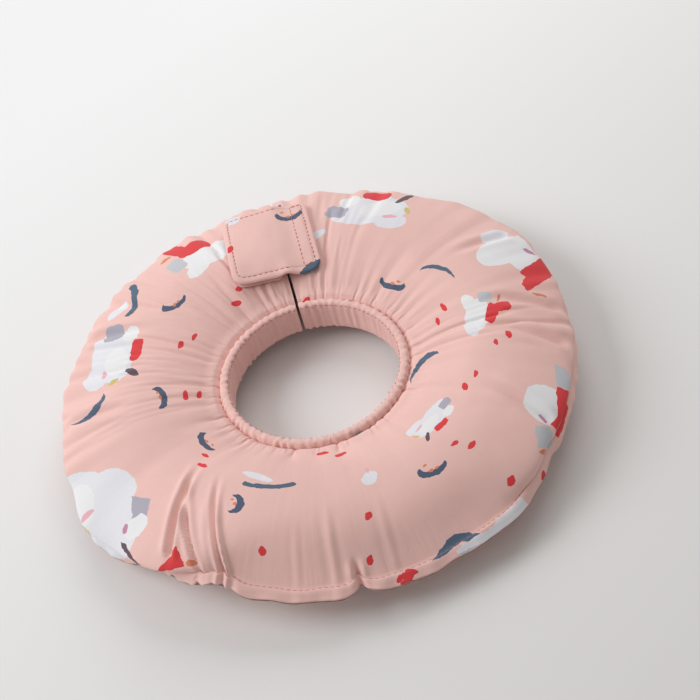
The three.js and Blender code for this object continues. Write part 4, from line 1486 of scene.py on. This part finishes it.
plain_cotton = small_piece("plain_cotton", PINK, 0.82, [("noise", 260, 0.35, 0.0007), ("weave", 1900, 0.25, 0.00010), ("noise", 2600, 0.2, 0.0001)], sheen=0.12, spec=0.25)
coat(plain_cotton, [*bands.values(), *gussets.values(), *allowances.values()])
threads = [*rim_threads.values(), *bobbin_threads.values(), flap_threads, root_threads, loop_threads, hook_threads, *neck_threads.values()]
coat(small_piece("stitching_thread", lin(194, 112, 108), 0.55, [("noise", 5200, 0.5, 0.00008)], sheen=0.2, tone=(0.88, 1.08, 1600.0)), threads)
coat(small_piece("fibre_filling", (0.86, 0.86, 0.85, 1), 0.95, [("noise", 900, 0.7, 0.0011), ("noise", 4200, 0.6, 0.0003)], sheen=0.5, tone=(0.93, 1.03, 400.0), spec=0.1), fillings.values())
coat(small_piece("elastic_webbing", (0.84, 0.83, 0.80, 1), 0.72, [("ribs", 1100, 0.6, 0.00018), ("noise", 3600, 0.3, 0.0001)]), elastics.values())
coat(small_piece("loop_tape", (0.84, 0.53, 0.49, 1), 0.93, [("cells", 2300, 0.8, 0.0004), ("noise", 5200, 0.7, 0.0002)], sheen=0.45, tone=(0.88, 1.07, 2200.0), spec=0.1), [loop_strip])
coat(small_piece("hook_tape", (0.83, 0.56, 0.52, 1), 0.5, [("weave", 1300, 0.6, 0.00014), ("noise", 3000, 0.3, 0.0001)]), [hook_strip])
coat(small_piece("hook_plastic", (0.86, 0.62, 0.58, 1), 0.32, [("noise", 6000, 0.15, 0.00003)], spec=0.5), [hook_field])


# ---------------------------------------------------------------------------- what rides on what
WING = {"right": "right_wing", "left": "left_wing"}
PANELS = {"right": (front_right, back_right), "left": (front_left, back_left)}
for side, wing in WING.items():
    f, b = PANELS[side]
    group = {
        f: ("printed_cotton", [f"{x}_front_panel" for x in ("throat", side)]),
        b: ("printed_cotton", [f"{x}_back_panel" for x in ("throat", side)]),
        fillings[side]: ("fibre_filling", [f"{x}_fibre_filling" for x in ("throat", side)]),
        bands[side]: ("printed_cotton", [f"{x}_neck_band" for x in ("throat", side)]),
        elastics[side]: ("elastic_webbing", [f"{x}_neck_elastic" for x in ("throat", side)]),
        allowances[side]: ("printed_cotton", [f"{x}_seam_allowance" for x in ("throat", side)]),
        rim_threads[side]: ("stitching_thread", [f"{x}_upper_thread" for x in ("throat", side)]),
        bobbin_threads[side]: ("stitching_thread", [f"{x}_lower_thread" for x in ("throat", side)]),
        neck_threads[side]: ("stitching_thread", []),
    }
    for o, (slot, nodes) in group.items():
        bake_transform(o)
        if nodes:
            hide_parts(*nodes)
    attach(gussets[side], wing)
    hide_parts(f"{side}_end_gusset")
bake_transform(flap)
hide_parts("flap_root", "flap_upper_panel", "flap_lower_panel")
for o, body, slot, nodes in ((flap_threads, "closure_flap", "stitching_thread", ["flap_thread"]), (root_threads, "right_wing", "stitching_thread", []),
                             (hook_strip, "closure_flap", "hook_tape", ["hook_strip"]), (hook_field, "closure_flap", "hook_tape", []),
                             (hook_threads, "closure_flap", "stitching_thread", []), (loop_strip, "left_wing", "loop_tape", ["loop_strip"]),
                             (loop_threads, "left_wing", "stitching_thread", [])):
    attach(o, body)
    if nodes:
        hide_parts(*nodes)
